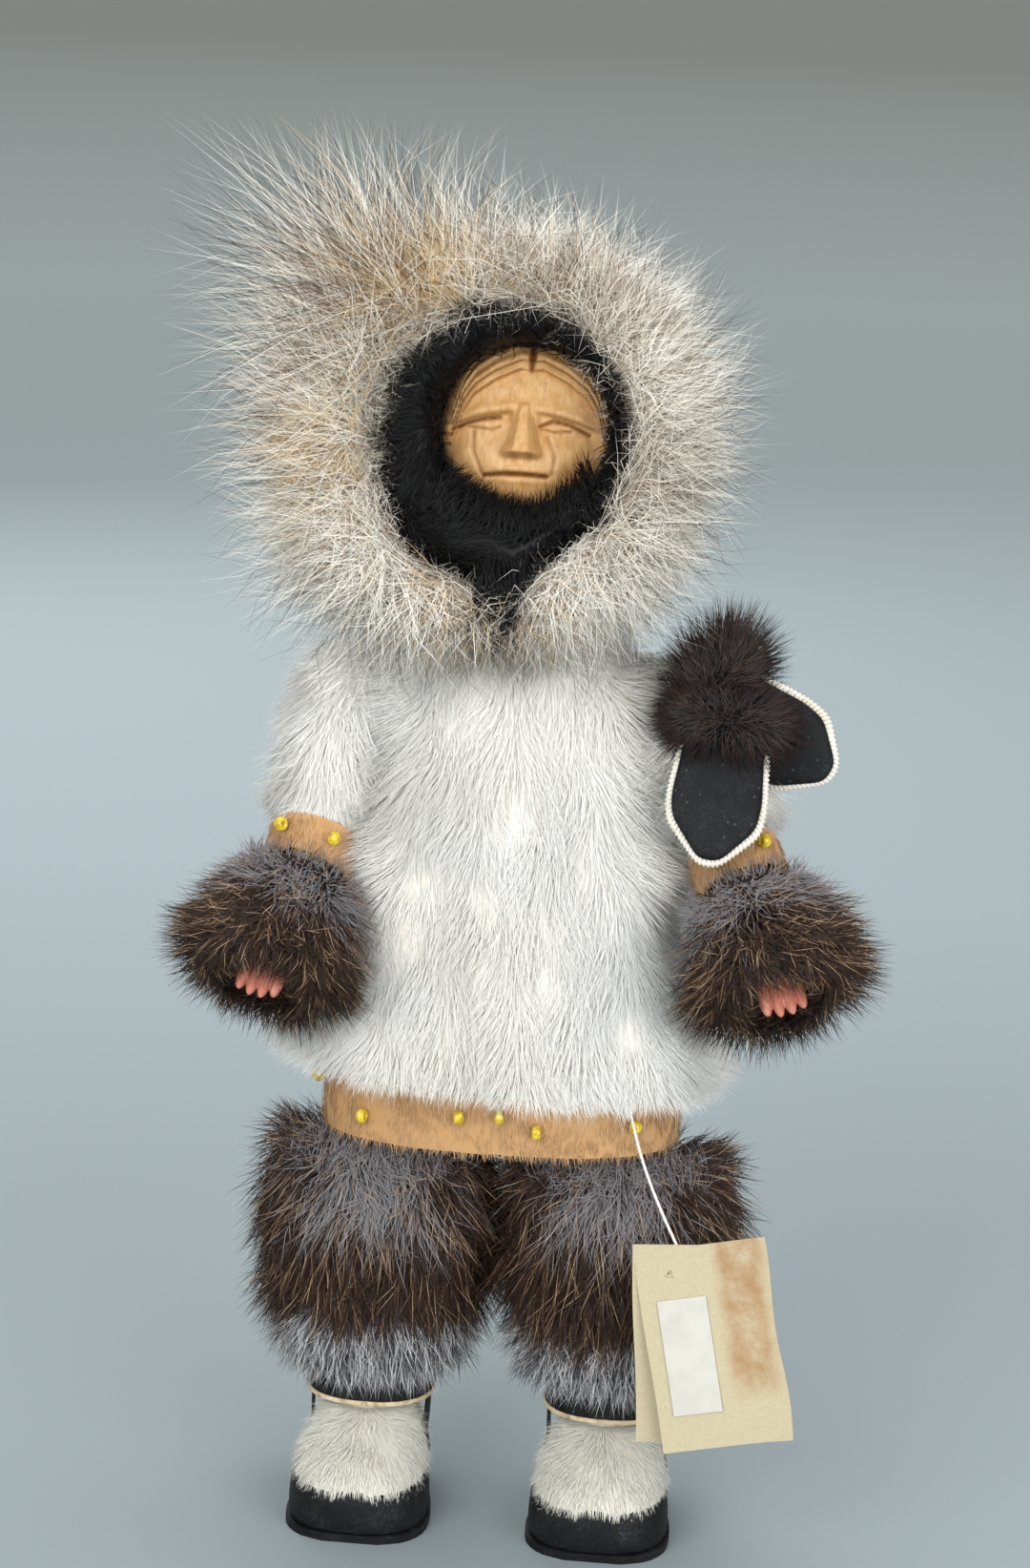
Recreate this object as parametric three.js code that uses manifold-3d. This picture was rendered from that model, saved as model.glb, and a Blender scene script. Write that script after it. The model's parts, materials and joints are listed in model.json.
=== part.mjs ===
// Fur doll in winter dress, standing and facing -Y, with its left arm at +X. Millimetres, +Z up.
import * as THREE from 'three';
import { mergeVertices } from 'three/addons/utils/BufferGeometryUtils.js';
import Module from 'manifold-3d';

const wasm = await Module();
wasm.setup();

const degrees = THREE.MathUtils.degToRad;
const mix = THREE.MathUtils.lerp;

// Clearances
const SEAM_GAP = 0.3; // between pieces that are sewn or glued together
const HIP_GAP = 0.4; // between the leg tops and the seat
const NECK_GAP = 0.4; // between the hood and the parka's neck
const THREAD_GAP = 0.9; // between the tag's thread and the hem, so that it can swing forward
const FACE_SEAT_GAP = 1.2; // between the carved face and the fur that presses round it

// Boots
const SOLE_THICKNESS = 2.4;
const SOLE_WELT = 0.8; // how far the sole stands out round the foot
const BOOT_LENGTH = 57;
const BOOT_WIDTH = 39;
const HEEL_SETBACK = 17; // from the leg's axis back to the heel
const FOOT_HEIGHT = 28;
const BOOT_WALL_HEIGHT = 12; // leather wall above the sole
const ANKLE_WIDTH = 32;
const ANKLE_DEPTH = 30;
const ANKLE_BAND_HEIGHT = 7;
const TIE_THICKNESS = 1;
const TIE_STRAP_WIDTH = 5.5;
const TIE_STRAP_SLANT = degrees(22);
const PIPING_DIAMETER = 1.3;

// Legs
const LEG_SPACING = 68; // between the two leg axes
const LEG_ANKLE_DIAMETER = 23;
const LEG_THIGH_WIDTH = 38;
const LEG_THIGH_DEPTH = 32;
const BOOT_CUFF_HEIGHT = 24;
const BOOT_CUFF_WIDTH = 55;
const BOOT_CUFF_DEPTH = 47;
const BOOT_CUFF_EDGE = 3; // fur past the ankle at the cuff's lower edge
const LEGGING_HEIGHT = 49;
const LEGGING_WIDTH = 64;
const LEGGING_DEPTH = 49;
const LEGGING_CROWN = 6; // fur and hide above the leg's own top

// Trunk
const HIP_BAND_HEIGHT = 26;
const HIP_BAND_WIDTH = 101;
const HIP_BAND_DEPTH = 54;
const HIP_BAND_THICKNESS = 2.2;
const HEM_LIFT = 19.6; // hem above the seat
const HEM_SLANT = degrees(2.5);
const HEM_WIDTH = 116;
const HEM_DEPTH = 66;
const HEM_THICKNESS = 4.5;
const SKIRT_EASE = 1; // between the skirt's inside and the hip band
const PARKA_LENGTH = 123;
const CHEST_WIDTH = 71.6;
const CHEST_DEPTH = 58;
const NECK_WIDTH = 40;
const NECK_DEPTH = 34;
const PARKA_THICKNESS = 5.5; // hide and fur over the stuffed trunk
const NECK_POST_DIAMETER = 12;
const NECK_POST_SEAT = 14; // depth of the post in the trunk
const BEAD_DIAMETER = 4;
const BEAD_HOLE = 1.2;
const BEAD_STRETCH = 1.2; // length along the hole, as a share of a round bead's

// Arms
const SHOULDER_SPACING = 86;
const SHOULDER_DROP = 17.6; // below the neck
const SHOULDER_SETBACK = 1; // behind the legs' axis
const ARMHOLE_SPACING = 73; // between the two flat faces where the sleeves are sewn on
const ARMHOLE_DIAMETER = 22;
const SLEEVE_LENGTH = 57;
const SLEEVE_DIAMETER = 29;
const ARM_DIAMETER = 15;
const SLEEVE_CUFF_LENGTH = 11;
const SLEEVE_CUFF_DIAMETER = 27;
const WRIST_FUR_LENGTH = 38;
const WRIST_FUR_DIAMETER = 48;
const MOUTH_EASE = 1; // between the hand and the fur cuff's bore
const MOUTH_FLARE = 4.5;
const MOUTH_FLARE_LENGTH = 10;
const HAND_WIDTH = 13;
const HAND_THICKNESS = 7;
const FINGER_LENGTH = 12;
const FINGER_THICKNESS = 4.3;
const KNUCKLE = 2; // fingers' roots inside the palm

// Head and hood
const HEAD_RISE = 57; // neck to the middle of the head
const HEAD_SETBACK = 4; // the neck's axis behind the legs' axis
const HEAD_TILT = degrees(10); // the face looks a little upwards
const CORE_DIAMETER = 60;
const CORE_SETBACK = 8;
const FACE_BACK = -8; // flat back of the face, in front of the neck's axis
const FACE_DROP = 4; // below the middle of the head
const FACE_WIDTH = 46;
const FACE_HEIGHT = 49;
const FACE_EDGE = 5; // thickness at the rim
const FACE_BULGE = 10;
const NOSE_LENGTH = 14;
const NOSE_WIDTH = 10.5;
const NOSE_HEIGHT = 5.5;
const EYE_SPACING = 20;
const EYE_WIDTH = 10;
const EYE_RISE = 2;
const SOCKET_DEPTH = 1.6;
const LID_HEIGHT = 0.7;
const MOUTH_WIDTH = 15;
const MOUTH_DROP = 11.5;
const LIP_HEIGHT = 1.1;
const MOUTH_DEPTH = 1.3;
const HAIR_RISE = 1.4; // step up from the brow to the carved hair
const FACE_OPENING_WIDTH = 41;
const FACE_OPENING_HEIGHT = 42;
const LINING_WIDTH = 65;
const LINING_HEIGHT = 72;
const LINING_SHIFT = -5; // the lining sits a little to the doll's right
const LINING_DROP = 6.5;
const LINING_DEPTH = 24;
const LINING_INSET = 2; // its front behind the ruff's
const LINING_TAIL = 5; // point of black fur under the chin
const LINING_TAIL_ANGLE = degrees(274);
const LINING_TAIL_SPREAD = degrees(14);
const RUFF_WIDTH = 134;
const RUFF_HEIGHT = 116;
const RUFF_SHIFT = -10.5; // the ruff is blown over to the doll's right
const RUFF_DEPTH = 34;
const RUFF_BACK = -4; // its back, in front of the neck's axis
const TUFT_HEIGHT = 16; // tuft that stands out at the upper right
const TUFT_ANGLE = degrees(137);
const TUFT_SPREAD = degrees(13);
const HOOD_HEIGHT = 104;
const HOOD_WIDTH = 90;
const HOOD_DEPTH = 80;
const HOOD_SETBACK = 9;

// Mittens hung on the left sleeve
const MITTEN_LENGTH = 43;
const MITTEN_WIDTH = 27;
const MITTEN_CUFF_WIDTH = 22;
const MITTEN_TIP_WIDTH = 5;
const MITTEN_PALM_THICKNESS = 2.4;
const MITTEN_BACK_THICKNESS = 1.6;
const MITTEN_EDGE = 1.4; // white edge left showing round the black palm
const MINK_WIDTH = 29;
const MINK_HEIGHT = 17;
const MINK_DROP = 4; // middle of the mink cuff below the mitten's top edge

// Tag on its thread
const TAG_WIDTH = 36;
const TAG_LENGTH = 56;
const CARD_THICKNESS = 0.6;
const TAG_SPLAY = degrees(5); // between the two leaves
const TAG_SKEW = degrees(8); // the card is folded askew
const TAG_TURN = degrees(12);
const TAG_LEAN = degrees(7);
const STICKER_WIDTH = 13.5;
const STICKER_LENGTH = 32;
const STICKER_THICKNESS = 0.4;
const STICKER_INSET = 4.5; // from the card's edge
const STICKER_DROP = 14; // below the fold
const THREAD_DIAMETER = 0.8;
const THREAD_SPACING = 37; // from the doll's middle to where the thread is sewn
const FOLD_HOLE_DEPTH = 2.6;
const FOLD_HOLE_OFFSET = 6; // from the card's middle

// Heights worked out from the soles up
const footBase = SOLE_THICKNESS + SEAM_GAP;
const wallTop = footBase + BOOT_WALL_HEIGHT;
const ankleTop = footBase + FOOT_HEIGHT;
const ankleBandBase = ankleTop + SEAM_GAP;
const bootCuffBase = ankleBandBase + ANKLE_BAND_HEIGHT + SEAM_GAP;
const leggingBase = bootCuffBase + BOOT_CUFF_HEIGHT + SEAM_GAP;
const leggingTop = leggingBase + LEGGING_HEIGHT;
const hipAxis = leggingTop - LEGGING_DEPTH / 2;
const seat = leggingTop + HIP_GAP;
const hem = seat + HEM_LIFT;
const neck = hem + PARKA_LENGTH;
const shoulder = neck - SHOULDER_DROP;
const headHeight = neck + HEAD_RISE;
const hipBandTop = seat + HIP_BAND_HEIGHT;

const ROUNDNESS = 2.4; // power of the rounded cross-sections, 2 being an ellipse
const FOOT_ROUNDNESS = 3;
const BODY_SIDES = 16;
const LIMB_SIDES = 12;

// Finishes
const finish = (color, roughness) => new THREE.MeshStandardMaterial({ color, roughness, metalness: 0 });
const WHITE_FUR = finish('#eeece6', 0.9);
const RUFF_FUR = finish('#cfc8ba', 0.9);
const BLACK_FUR = finish('#17171a', 0.85);
const BROWN_FUR = finish('#5b4436', 0.9);
const GREY_FUR = finish('#9b9a9c', 0.9);
const TAN_HIDE = finish('#c08d5c', 0.8);
const MINK_FUR = finish('#2b201c', 0.8);
const BLACK_LEATHER = finish('#1d1f22', 0.6);
const WHITE_LEATHER = finish('#e6e1d6', 0.7);
const TAN_WELT = finish('#c9b48f', 0.7);
const WOOD = finish('#c8924f', 0.5);
const COTTON = finish('#d9d2c2', 0.9);
const PINK_PLASTIC = finish('#d88a78', 0.5);
const YELLOW_GLASS = finish('#d8b400', 0.1);
const CARD = finish('#e8d5ab', 0.8);
const PAPER = finish('#f0efea', 0.7);

// Closed surfaces and joins

function skin(rings, loop = false) {
  const sides = rings[0].length;
  const points = rings.flat();
  const faces = [];
  const last = loop ? rings.length : rings.length - 1;
  for (let i = 0; i < last; i += 1) {
    const here = i * sides;
    const next = ((i + 1) % rings.length) * sides;
    for (let j = 0; j < sides; j += 1) {
      const k = (j + 1) % sides;
      faces.push(here + j, here + k, next + j, here + k, next + k, next + j);
    }
  }
  if (!loop) {
    const ends = [[rings[0], 0, 1], [rings.at(-1), (rings.length - 1) * sides, 0]];
    for (const [ring, start, turn] of ends) {
      const middle = points.length;
      points.push(ring.reduce((sum, p) => sum.add(p), new THREE.Vector3()).divideScalar(sides));
      for (let j = 0; j < sides; j += 1) {
        faces.push(middle, start + ((j + turn) % sides), start + ((j + 1 - turn) % sides));
      }
    }
  }
  return new THREE.BufferGeometry().setFromPoints(points).setIndex(faces);
}

function solid(geometry) {
  const bare = geometry.clone();
  bare.deleteAttribute('normal');
  bare.deleteAttribute('uv');
  const merged = mergeVertices(bare, 1e-4);
  return new wasm.Manifold(new wasm.Mesh({
    numProp: 3,
    vertProperties: new Float32Array(merged.attributes.position.array),
    triVerts: new Uint32Array(merged.index.array),
  }));
}

function shape(body) {
  const { vertProperties, triVerts } = body.getMesh();
  const geometry = new THREE.BufferGeometry();
  geometry.setAttribute('position', new THREE.BufferAttribute(vertProperties, 3));
  return geometry.setIndex(new THREE.BufferAttribute(triVerts, 1));
}

function cut(geometry, ...tools) {
  return shape(tools.reduce((body, tool) => body.subtract(solid(tool)), solid(geometry)));
}

function join(geometry, ...more) {
  return shape(more.reduce((body, other) => body.add(solid(other)), solid(geometry)));
}

const overlap = (geometry, other) => shape(solid(geometry).intersect(solid(other)));

function piece(group, name, geometry, material) {
  const mesh = new THREE.Mesh(geometry, material);
  mesh.name = name;
  mesh.geometry.computeVertexNormals();
  group.add(mesh);
  return mesh;
}

function outlinePoint(halfWidth, halfDepth, angle, power = ROUNDNESS) {
  const squared = (v) => Math.sign(v) * Math.abs(v) ** (2 / power);
  return [halfWidth * squared(Math.cos(angle)), halfDepth * squared(Math.sin(angle))];
}

const roundTurn = (sides) => Array.from({ length: sides }, (_, i) => (i / sides) * 2 * Math.PI);

// A level cross-section of an upright soft form: height, width, depth and shift towards the back
const section = (z, width, depth, y = 0) => ({ z, width, depth, y });

function smooth(sections, steps) {
  const curve = (point) => new THREE.CatmullRomCurve3(sections.map(point));
  const sizes = curve((s) => new THREE.Vector3(s.width, s.depth, s.z));
  const shifts = curve((s) => new THREE.Vector3(0, s.y, s.z));
  return Array.from({ length: steps + 1 }, (_, i) => {
    const size = sizes.getPoint(i / steps);
    return section(size.z, size.x, size.y, shifts.getPoint(i / steps).y);
  });
}

function loft(sections, grow = 0, sides = BODY_SIDES) {
  const rings = sections.map(({ z, width, depth, y }, i) => {
    const lift = i === 0 ? -grow : i === sections.length - 1 ? grow : 0;
    return roundTurn(sides).map((angle) => {
      const [px, py] = outlinePoint(width / 2 + grow, depth / 2 + grow, angle);
      return new THREE.Vector3(px, y + py, z + lift);
    });
  });
  return skin(rings);
}

function pathFrame(path, share) {
  const along = path.getTangentAt(share);
  const across = new THREE.Vector3(1, 0, 0).addScaledVector(along, -along.x).normalize();
  const over = new THREE.Vector3().crossVectors(along, across);
  return { middle: path.getPointAt(share), along, across, over };
}

// Round limb along a path: stops are pairs of a distance along the path and a diameter there
function limb(path, stops, { grow = 0, sides = LIMB_SIDES, steps = stops.length + 3 } = {}) {
  const length = path.getLength();
  const profile = new THREE.SplineCurve(stops.map((stop) => new THREE.Vector2(...stop)));
  const rings = [];
  for (let i = 0; i <= steps; i += 1) {
    const stop = profile.getPoint(i / steps);
    const lift = i === 0 ? -grow : i === steps ? grow : 0;
    const at = THREE.MathUtils.clamp(stop.x / length, 0, 1);
    const { middle, along, across, over } = pathFrame(path, at);
    middle.addScaledVector(along, lift);
    rings.push(roundTurn(sides).map((angle) => middle.clone()
      .addScaledVector(across, (stop.y / 2 + grow) * Math.cos(angle))
      .addScaledVector(over, (stop.y / 2 + grow) * Math.sin(angle))));
  }
  return skin(rings);
}

// Thick ring of fur in the XZ plane between two outlines, each a function of the angle round it
function furRing(inner, outer, front, back, steps, sides) {
  const rings = roundTurn(steps).map((angle) => {
    const from = new THREE.Vector2(...inner(angle));
    const to = new THREE.Vector2(...outer(angle));
    const middle = from.clone().lerp(to, 0.5);
    const half = to.clone().sub(from).divideScalar(2);
    return roundTurn(sides).map((turn) => {
      const across = middle.clone().addScaledVector(half, Math.cos(turn));
      const y = mix(front, back, (1 + Math.sin(turn)) / 2);
      return new THREE.Vector3(across.x, y, across.y);
    });
  });
  return skin(rings, true);
}

function tube(path, diameter, steps, sides = 8) {
  const radius = diameter / 2;
  const round = roundTurn(sides).map((a) => new THREE.Vector2(radius * Math.cos(a), radius * Math.sin(a)));
  const settings = { extrudePath: path, steps, bevelEnabled: false };
  return new THREE.ExtrudeGeometry(new THREE.Shape(round), settings);
}

function box(width, depth, height, x, y, z) {
  return new THREE.BoxGeometry(width, depth, height).translate(x, y, z);
}

function upright(diameter, base, top, y) {
  const round = new THREE.CylinderGeometry(diameter / 2, diameter / 2, top - base, BODY_SIDES);
  return round.rotateX(Math.PI / 2).translate(0, y, (base + top) / 2);
}

const doll = new THREE.Group();
const LARGE = 400; // bigger than any piece, for cutting away one side of a form

// Legs and boots

const legTop = leggingTop - LEGGING_CROWN;
const kneeWidth = mix(LEG_ANKLE_DIAMETER, LEG_THIGH_WIDTH, 0.6);
const kneeDepth = mix(LEG_ANKLE_DIAMETER, LEG_THIGH_DEPTH, 0.6);
const legLoft = smooth([
  section(wallTop + SEAM_GAP, LEG_ANKLE_DIAMETER, LEG_ANKLE_DIAMETER),
  section(ankleTop, LEG_ANKLE_DIAMETER, LEG_ANKLE_DIAMETER),
  section(leggingBase, kneeWidth, kneeDepth),
  section(hipAxis, LEG_THIGH_WIDTH, LEG_THIGH_DEPTH),
  section(mix(hipAxis, legTop, 0.7), LEG_THIGH_WIDTH * 0.9, LEG_THIGH_DEPTH * 0.8),
  section(legTop, LEG_THIGH_WIDTH * 0.6, LEG_THIGH_DEPTH * 0.4),
], 7);

// The legging's top is a round saddle about the hip's axis, so that it rolls under the seat
const saddleAngles = [18, 36, 52, 67, 81].map(degrees);
const leggingLoft = [
  ...smooth([
    section(leggingBase, LEGGING_WIDTH * 0.9, LEGGING_DEPTH * 0.94),
    section(mix(leggingBase, hipAxis, 0.4), LEGGING_WIDTH * 0.97, LEGGING_DEPTH * 0.98),
    section(hipAxis, LEGGING_WIDTH, LEGGING_DEPTH),
  ], 4),
  ...saddleAngles.map((a) => section(
    hipAxis + (LEGGING_DEPTH / 2) * Math.sin(a),
    LEGGING_WIDTH * (1 - 0.08 * Math.sin(a) ** 4),
    LEGGING_DEPTH * Math.cos(a),
  )),
];

const bootCuffLoft = smooth([
  section(bootCuffBase, ANKLE_WIDTH + 2 * BOOT_CUFF_EDGE, ANKLE_DEPTH + 2 * BOOT_CUFF_EDGE),
  section(mix(bootCuffBase, leggingBase, 0.3), BOOT_CUFF_WIDTH * 0.94, BOOT_CUFF_DEPTH * 0.94),
  section(mix(bootCuffBase, leggingBase, 0.65), BOOT_CUFF_WIDTH, BOOT_CUFF_DEPTH),
  section(leggingBase - SEAM_GAP, BOOT_CUFF_WIDTH * 0.98, BOOT_CUFF_DEPTH * 0.97),
], 6);

// Foot from heel to toe: share of the length, of the width and of the height
const footProfile = new THREE.CatmullRomCurve3([
  [0, 0.45, 0.62], [0.05, 0.68, 0.86], [0.2, 0.82, 1], [0.4, 0.9, 1], [0.55, 0.97, 0.9],
  [0.69, 1, 0.79], [0.83, 0.95, 0.68], [0.94, 0.74, 0.58], [1, 0.36, 0.45],
].map((share) => new THREE.Vector3(...share)));

function footForm(grow, steps = 10, sides = 12) {
  const rings = [];
  for (let i = 0; i <= steps; i += 1) {
    const share = footProfile.getPoint(i / steps);
    const lift = i === 0 ? grow : i === steps ? -grow : 0;
    const y = HEEL_SETBACK - share.x * BOOT_LENGTH + lift;
    const halfWidth = (share.y * BOOT_WIDTH) / 2 + grow;
    const height = Math.min(share.z, 1) * FOOT_HEIGHT + grow;
    rings.push(Array.from({ length: sides + 1 }, (_, j) => {
      const [x, z] = outlinePoint(halfWidth, height, (j / sides) * Math.PI, FOOT_ROUNDNESS);
      return new THREE.Vector3(x, y, footBase + z);
    }));
  }
  return skin(rings);
}

const ankleShaft = (grow, rise) => loft([
  section(mix(footBase, wallTop, 0.5), ANKLE_WIDTH, ANKLE_DEPTH),
  section(ankleTop + rise, ANKLE_WIDTH, ANKLE_DEPTH),
].map((s) => ({ ...s, width: s.width + 2 * grow, depth: s.depth + 2 * grow })));

const bootForm = (grow, rise = 0) => join(footForm(grow), ankleShaft(grow, rise));
const above = (z) => box(LARGE, LARGE, LARGE, 0, 0, z + LARGE / 2);
const below = (z) => box(LARGE, LARGE, LARGE, 0, 0, z - LARGE / 2);

function soleShape() {
  const share = footProfile.getPoints(20);
  const edge = (s, side) => new THREE.Vector2(
    side * ((s.y * BOOT_WIDTH) / 2 + SOLE_WELT),
    HEEL_SETBACK - s.x * BOOT_LENGTH + (s.x === 0 ? SOLE_WELT : s.x === 1 ? -SOLE_WELT : 0),
  );
  const left = share.map((s) => edge(s, -1));
  const right = share.map((s) => edge(s, 1)).reverse();
  return new THREE.Shape([...left, ...right]);
}

function ankleTie() {
  const reach = SEAM_GAP + TIE_THICKNESS;
  const [width, depth] = [ANKLE_WIDTH + 2 * reach, ANKLE_DEPTH + 2 * reach];
  const bandTop = ankleBandBase + ANKLE_BAND_HEIGHT;
  const bandLoft = [section(ankleBandBase, width, depth), section(bandTop, width, depth)];
  const band = cut(loft(bandLoft), loft(legLoft, SEAM_GAP));
  const overlapHeight = ANKLE_BAND_HEIGHT / 2;
  const wrap = cut(bootForm(reach, overlapHeight), bootForm(SEAM_GAP, ANKLE_BAND_HEIGHT));
  const strapBox = new THREE.BoxGeometry(LARGE, TIE_STRAP_WIDTH, FOOT_HEIGHT * 3)
    .rotateX(-TIE_STRAP_SLANT).translate(0, 0, ankleTop);
  const straps = cut(overlap(wrap, strapBox), below(wallTop + SEAM_GAP));
  return join(band, straps);
}

function pipingLoop() {
  const out = SEAM_GAP + TIE_THICKNESS + SEAM_GAP + PIPING_DIAMETER / 2;
  const rings = roundTurn(BODY_SIDES).map((angle) => {
    const [x, y] = outlinePoint(ANKLE_WIDTH / 2 + out, ANKLE_DEPTH / 2 + out, angle);
    const outward = new THREE.Vector2(x / ANKLE_WIDTH ** 2, y / ANKLE_DEPTH ** 2).normalize();
    return roundTurn(6).map((turn) => {
      const reach = (PIPING_DIAMETER / 2) * Math.cos(turn);
      const lift = (PIPING_DIAMETER / 2) * Math.sin(turn);
      const z = ankleBandBase + PIPING_DIAMETER + lift;
      return new THREE.Vector3(x + outward.x * reach, y + outward.y * reach, z);
    });
  });
  return skin(rings.reverse(), true);
}

function makeLeg(side, sign) {
  const leg = new THREE.Group();
  leg.position.x = (sign * LEG_SPACING) / 2;
  const bore = loft(legLoft, SEAM_GAP);
  piece(leg, `leg_${side}`, loft(legLoft), COTTON);
  piece(leg, `legging_${side}`, cut(loft(leggingLoft), bore), BROWN_FUR);
  piece(leg, `boot_cuff_${side}`, cut(loft(bootCuffLoft), bore), GREY_FUR);
  piece(leg, `ankle_tie_${side}`, ankleTie(), BLACK_LEATHER);
  piece(leg, `boot_piping_${side}`, pipingLoop(), TAN_WELT);
  piece(leg, `boot_upper_${side}`, cut(bootForm(0), below(wallTop + SEAM_GAP), bore), WHITE_FUR);
  piece(leg, `boot_wall_${side}`, cut(footForm(0), above(wallTop)), BLACK_LEATHER);
  const sole = new THREE.ExtrudeGeometry(soleShape(), { depth: SOLE_THICKNESS, bevelEnabled: false });
  piece(leg, `sole_${side}`, sole, BLACK_LEATHER);
  doll.add(leg);
}

makeLeg('left', 1);
makeLeg('right', -1);

// Trunk, parka and hip band

const chestHeight = mix(hem, neck, 0.68);
const skirt = (rise, widthShare, depthShare) => section(
  mix(hem, chestHeight, rise),
  mix(HEM_WIDTH, CHEST_WIDTH, widthShare),
  mix(HEM_DEPTH, CHEST_DEPTH, depthShare),
);
const yoke = (rise, widthShare, depthShare, back) => section(
  mix(chestHeight, neck, rise),
  mix(CHEST_WIDTH, NECK_WIDTH, widthShare),
  mix(CHEST_DEPTH, NECK_DEPTH, depthShare),
  HEAD_SETBACK * back,
);
const parkaLoft = [
  skirt(0, 0, 0),
  skirt(0.14, 0.09, 0.02),
  skirt(0.35, 0.33, 0.2),
  skirt(0.61, 0.65, 0.5),
  skirt(0.83, 0.91, 0.8),
  skirt(1, 1, 1),
  yoke(0.4, 0.11, 0.1, 0.3),
  yoke(0.7, 0.3, 0.3, 0.7),
  yoke(0.9, 0.7, 0.7, 1),
  yoke(1, 1, 1, 1),
];

const thinner = (s, by) => ({ ...s, width: s.width - 2 * by, depth: s.depth - 2 * by });
const seatWidth = HIP_BAND_WIDTH - 2 * (HIP_BAND_THICKNESS + SEAM_GAP);
const seatDepth = HIP_BAND_DEPTH - 2 * (HIP_BAND_THICKNESS + SEAM_GAP);
const trunkTop = neck - PARKA_THICKNESS;
const trunkLoft = [
  section(seat, seatWidth, seatDepth),
  section(hipBandTop, seatWidth, seatDepth),
  ...parkaLoft.slice(3, -2).map((s) => thinner(s, PARKA_THICKNESS + SEAM_GAP)),
  section(trunkTop, NECK_WIDTH - PARKA_THICKNESS, NECK_DEPTH - PARKA_THICKNESS, HEAD_SETBACK),
];
const trunkForm = (grow) => loft(smooth(trunkLoft, 10), grow);
const postBase = trunkTop - NECK_POST_SEAT;
const postTop = headHeight - CORE_DIAMETER / 8;

// The hem hangs a little lower on the doll's left side
function slantHem(geometry) {
  const place = geometry.attributes.position;
  for (let i = 0; i < place.count; i += 1) {
    const fade = Math.max(0, 1 - (place.getZ(i) - hem) / (PARKA_LENGTH / 3));
    place.setZ(i, place.getZ(i) - Math.tan(HEM_SLANT) * place.getX(i) * Math.min(fade, 1));
  }
  return geometry;
}

function parka() {
  const armholeRadius = ARMHOLE_DIAMETER / 2;
  const armholes = new THREE.CylinderGeometry(armholeRadius, armholeRadius, ARMHOLE_SPACING, BODY_SIDES)
    .rotateZ(Math.PI / 2).translate(0, SHOULDER_SETBACK, shoulder);
  const [hollowWidth, hollowDepth] = [HEM_WIDTH - 2 * HEM_THICKNESS, HEM_DEPTH - 2 * HEM_THICKNESS];
  const skirtHollow = slantHem(loft([
    section(hem - 2 * HEM_THICKNESS, hollowWidth, hollowDepth),
    section(hem, hollowWidth, hollowDepth),
    section(hipBandTop + 2 * SKIRT_EASE, HIP_BAND_WIDTH + 2 * SKIRT_EASE, HIP_BAND_DEPTH + 2 * SKIRT_EASE),
  ]));
  const neckHole = upright(NECK_POST_DIAMETER + 2 * SEAM_GAP, postBase, headHeight, HEAD_SETBACK);
  const coat = join(slantHem(loft(smooth(parkaLoft, 12))), armholes);
  return cut(coat, trunkForm(SEAM_GAP), skirtHollow, neckHole);
}

function hipBand() {
  const band = [seat, hipBandTop].map((z) => section(z, HIP_BAND_WIDTH, HIP_BAND_DEPTH));
  return cut(loft(band), trunkForm(SEAM_GAP));
}

const postSocket = upright(NECK_POST_DIAMETER + 2 * SEAM_GAP, postBase - SEAM_GAP, neck, HEAD_SETBACK);
piece(doll, 'trunk', cut(trunkForm(0), postSocket), COTTON);
piece(doll, 'parka', parka(), WHITE_FUR);
piece(doll, 'hip_band', hipBand(), TAN_HIDE);
piece(doll, 'neck_post', upright(NECK_POST_DIAMETER, postBase, postTop, HEAD_SETBACK), WOOD);

// Drilled glass bead, sewn on with its hole along the seam
function sewBead(group, name, seat, outward, seam) {
  const wall = (BEAD_DIAMETER - BEAD_HOLE) / 4;
  const middle = (BEAD_DIAMETER + BEAD_HOLE) / 4;
  const profile = roundTurn(5).map((a) => new THREE.Vector2(
    middle + wall * Math.cos(a),
    wall * BEAD_STRETCH * Math.sin(a),
  ));
  const mesh = piece(group, name, new THREE.LatheGeometry([...profile, profile[0]], 8), YELLOW_GLASS);
  const third = new THREE.Vector3().crossVectors(outward, seam);
  mesh.quaternion.setFromRotationMatrix(new THREE.Matrix4().makeBasis(outward, seam, third));
  mesh.position.copy(seat).addScaledVector(outward, SEAM_GAP + BEAD_DIAMETER / 2);
}

// Where a ray from the doll's axis leaves the faceted band, and which way the band faces there
function bandSeat(turn) {
  const ring = roundTurn(BODY_SIDES).map((a) => new THREE.Vector2(
    ...outlinePoint(HIP_BAND_WIDTH / 2, HIP_BAND_DEPTH / 2, a),
  ));
  const ray = new THREE.Vector2(Math.sin(turn), -Math.cos(turn));
  for (let i = 0; i < ring.length; i += 1) {
    const edge = ring[(i + 1) % ring.length].clone().sub(ring[i]);
    const share = -ray.cross(ring[i]) / ray.cross(edge);
    const seat = ring[i].clone().addScaledVector(edge, share);
    if (share >= 0 && share < 1 && seat.dot(ray) > 0) return { seat, seam: edge.normalize() };
  }
  throw new Error('the ray leaves the band nowhere');
}

// Angle round the band from the front towards the doll's left, and how far below the hem's line
const hipBeads = [
  [-88, 7.5], [-60, 12], [-19, 8.5], [4, 7.5], [25, 11.5],
  [62, 10], [120, 10], [160, 8], [-160, 11], [-122, 9],
];
hipBeads.forEach(([turn, drop], i) => {
  const { seat, seam } = bandSeat(degrees(turn));
  const place = new THREE.Vector3(seat.x, seat.y, hem - drop);
  const outward = new THREE.Vector3(seam.y, -seam.x, 0);
  sewBead(doll, `hip_bead_${i + 1}`, place, outward, new THREE.Vector3(seam.x, seam.y, 0));
});

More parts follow.
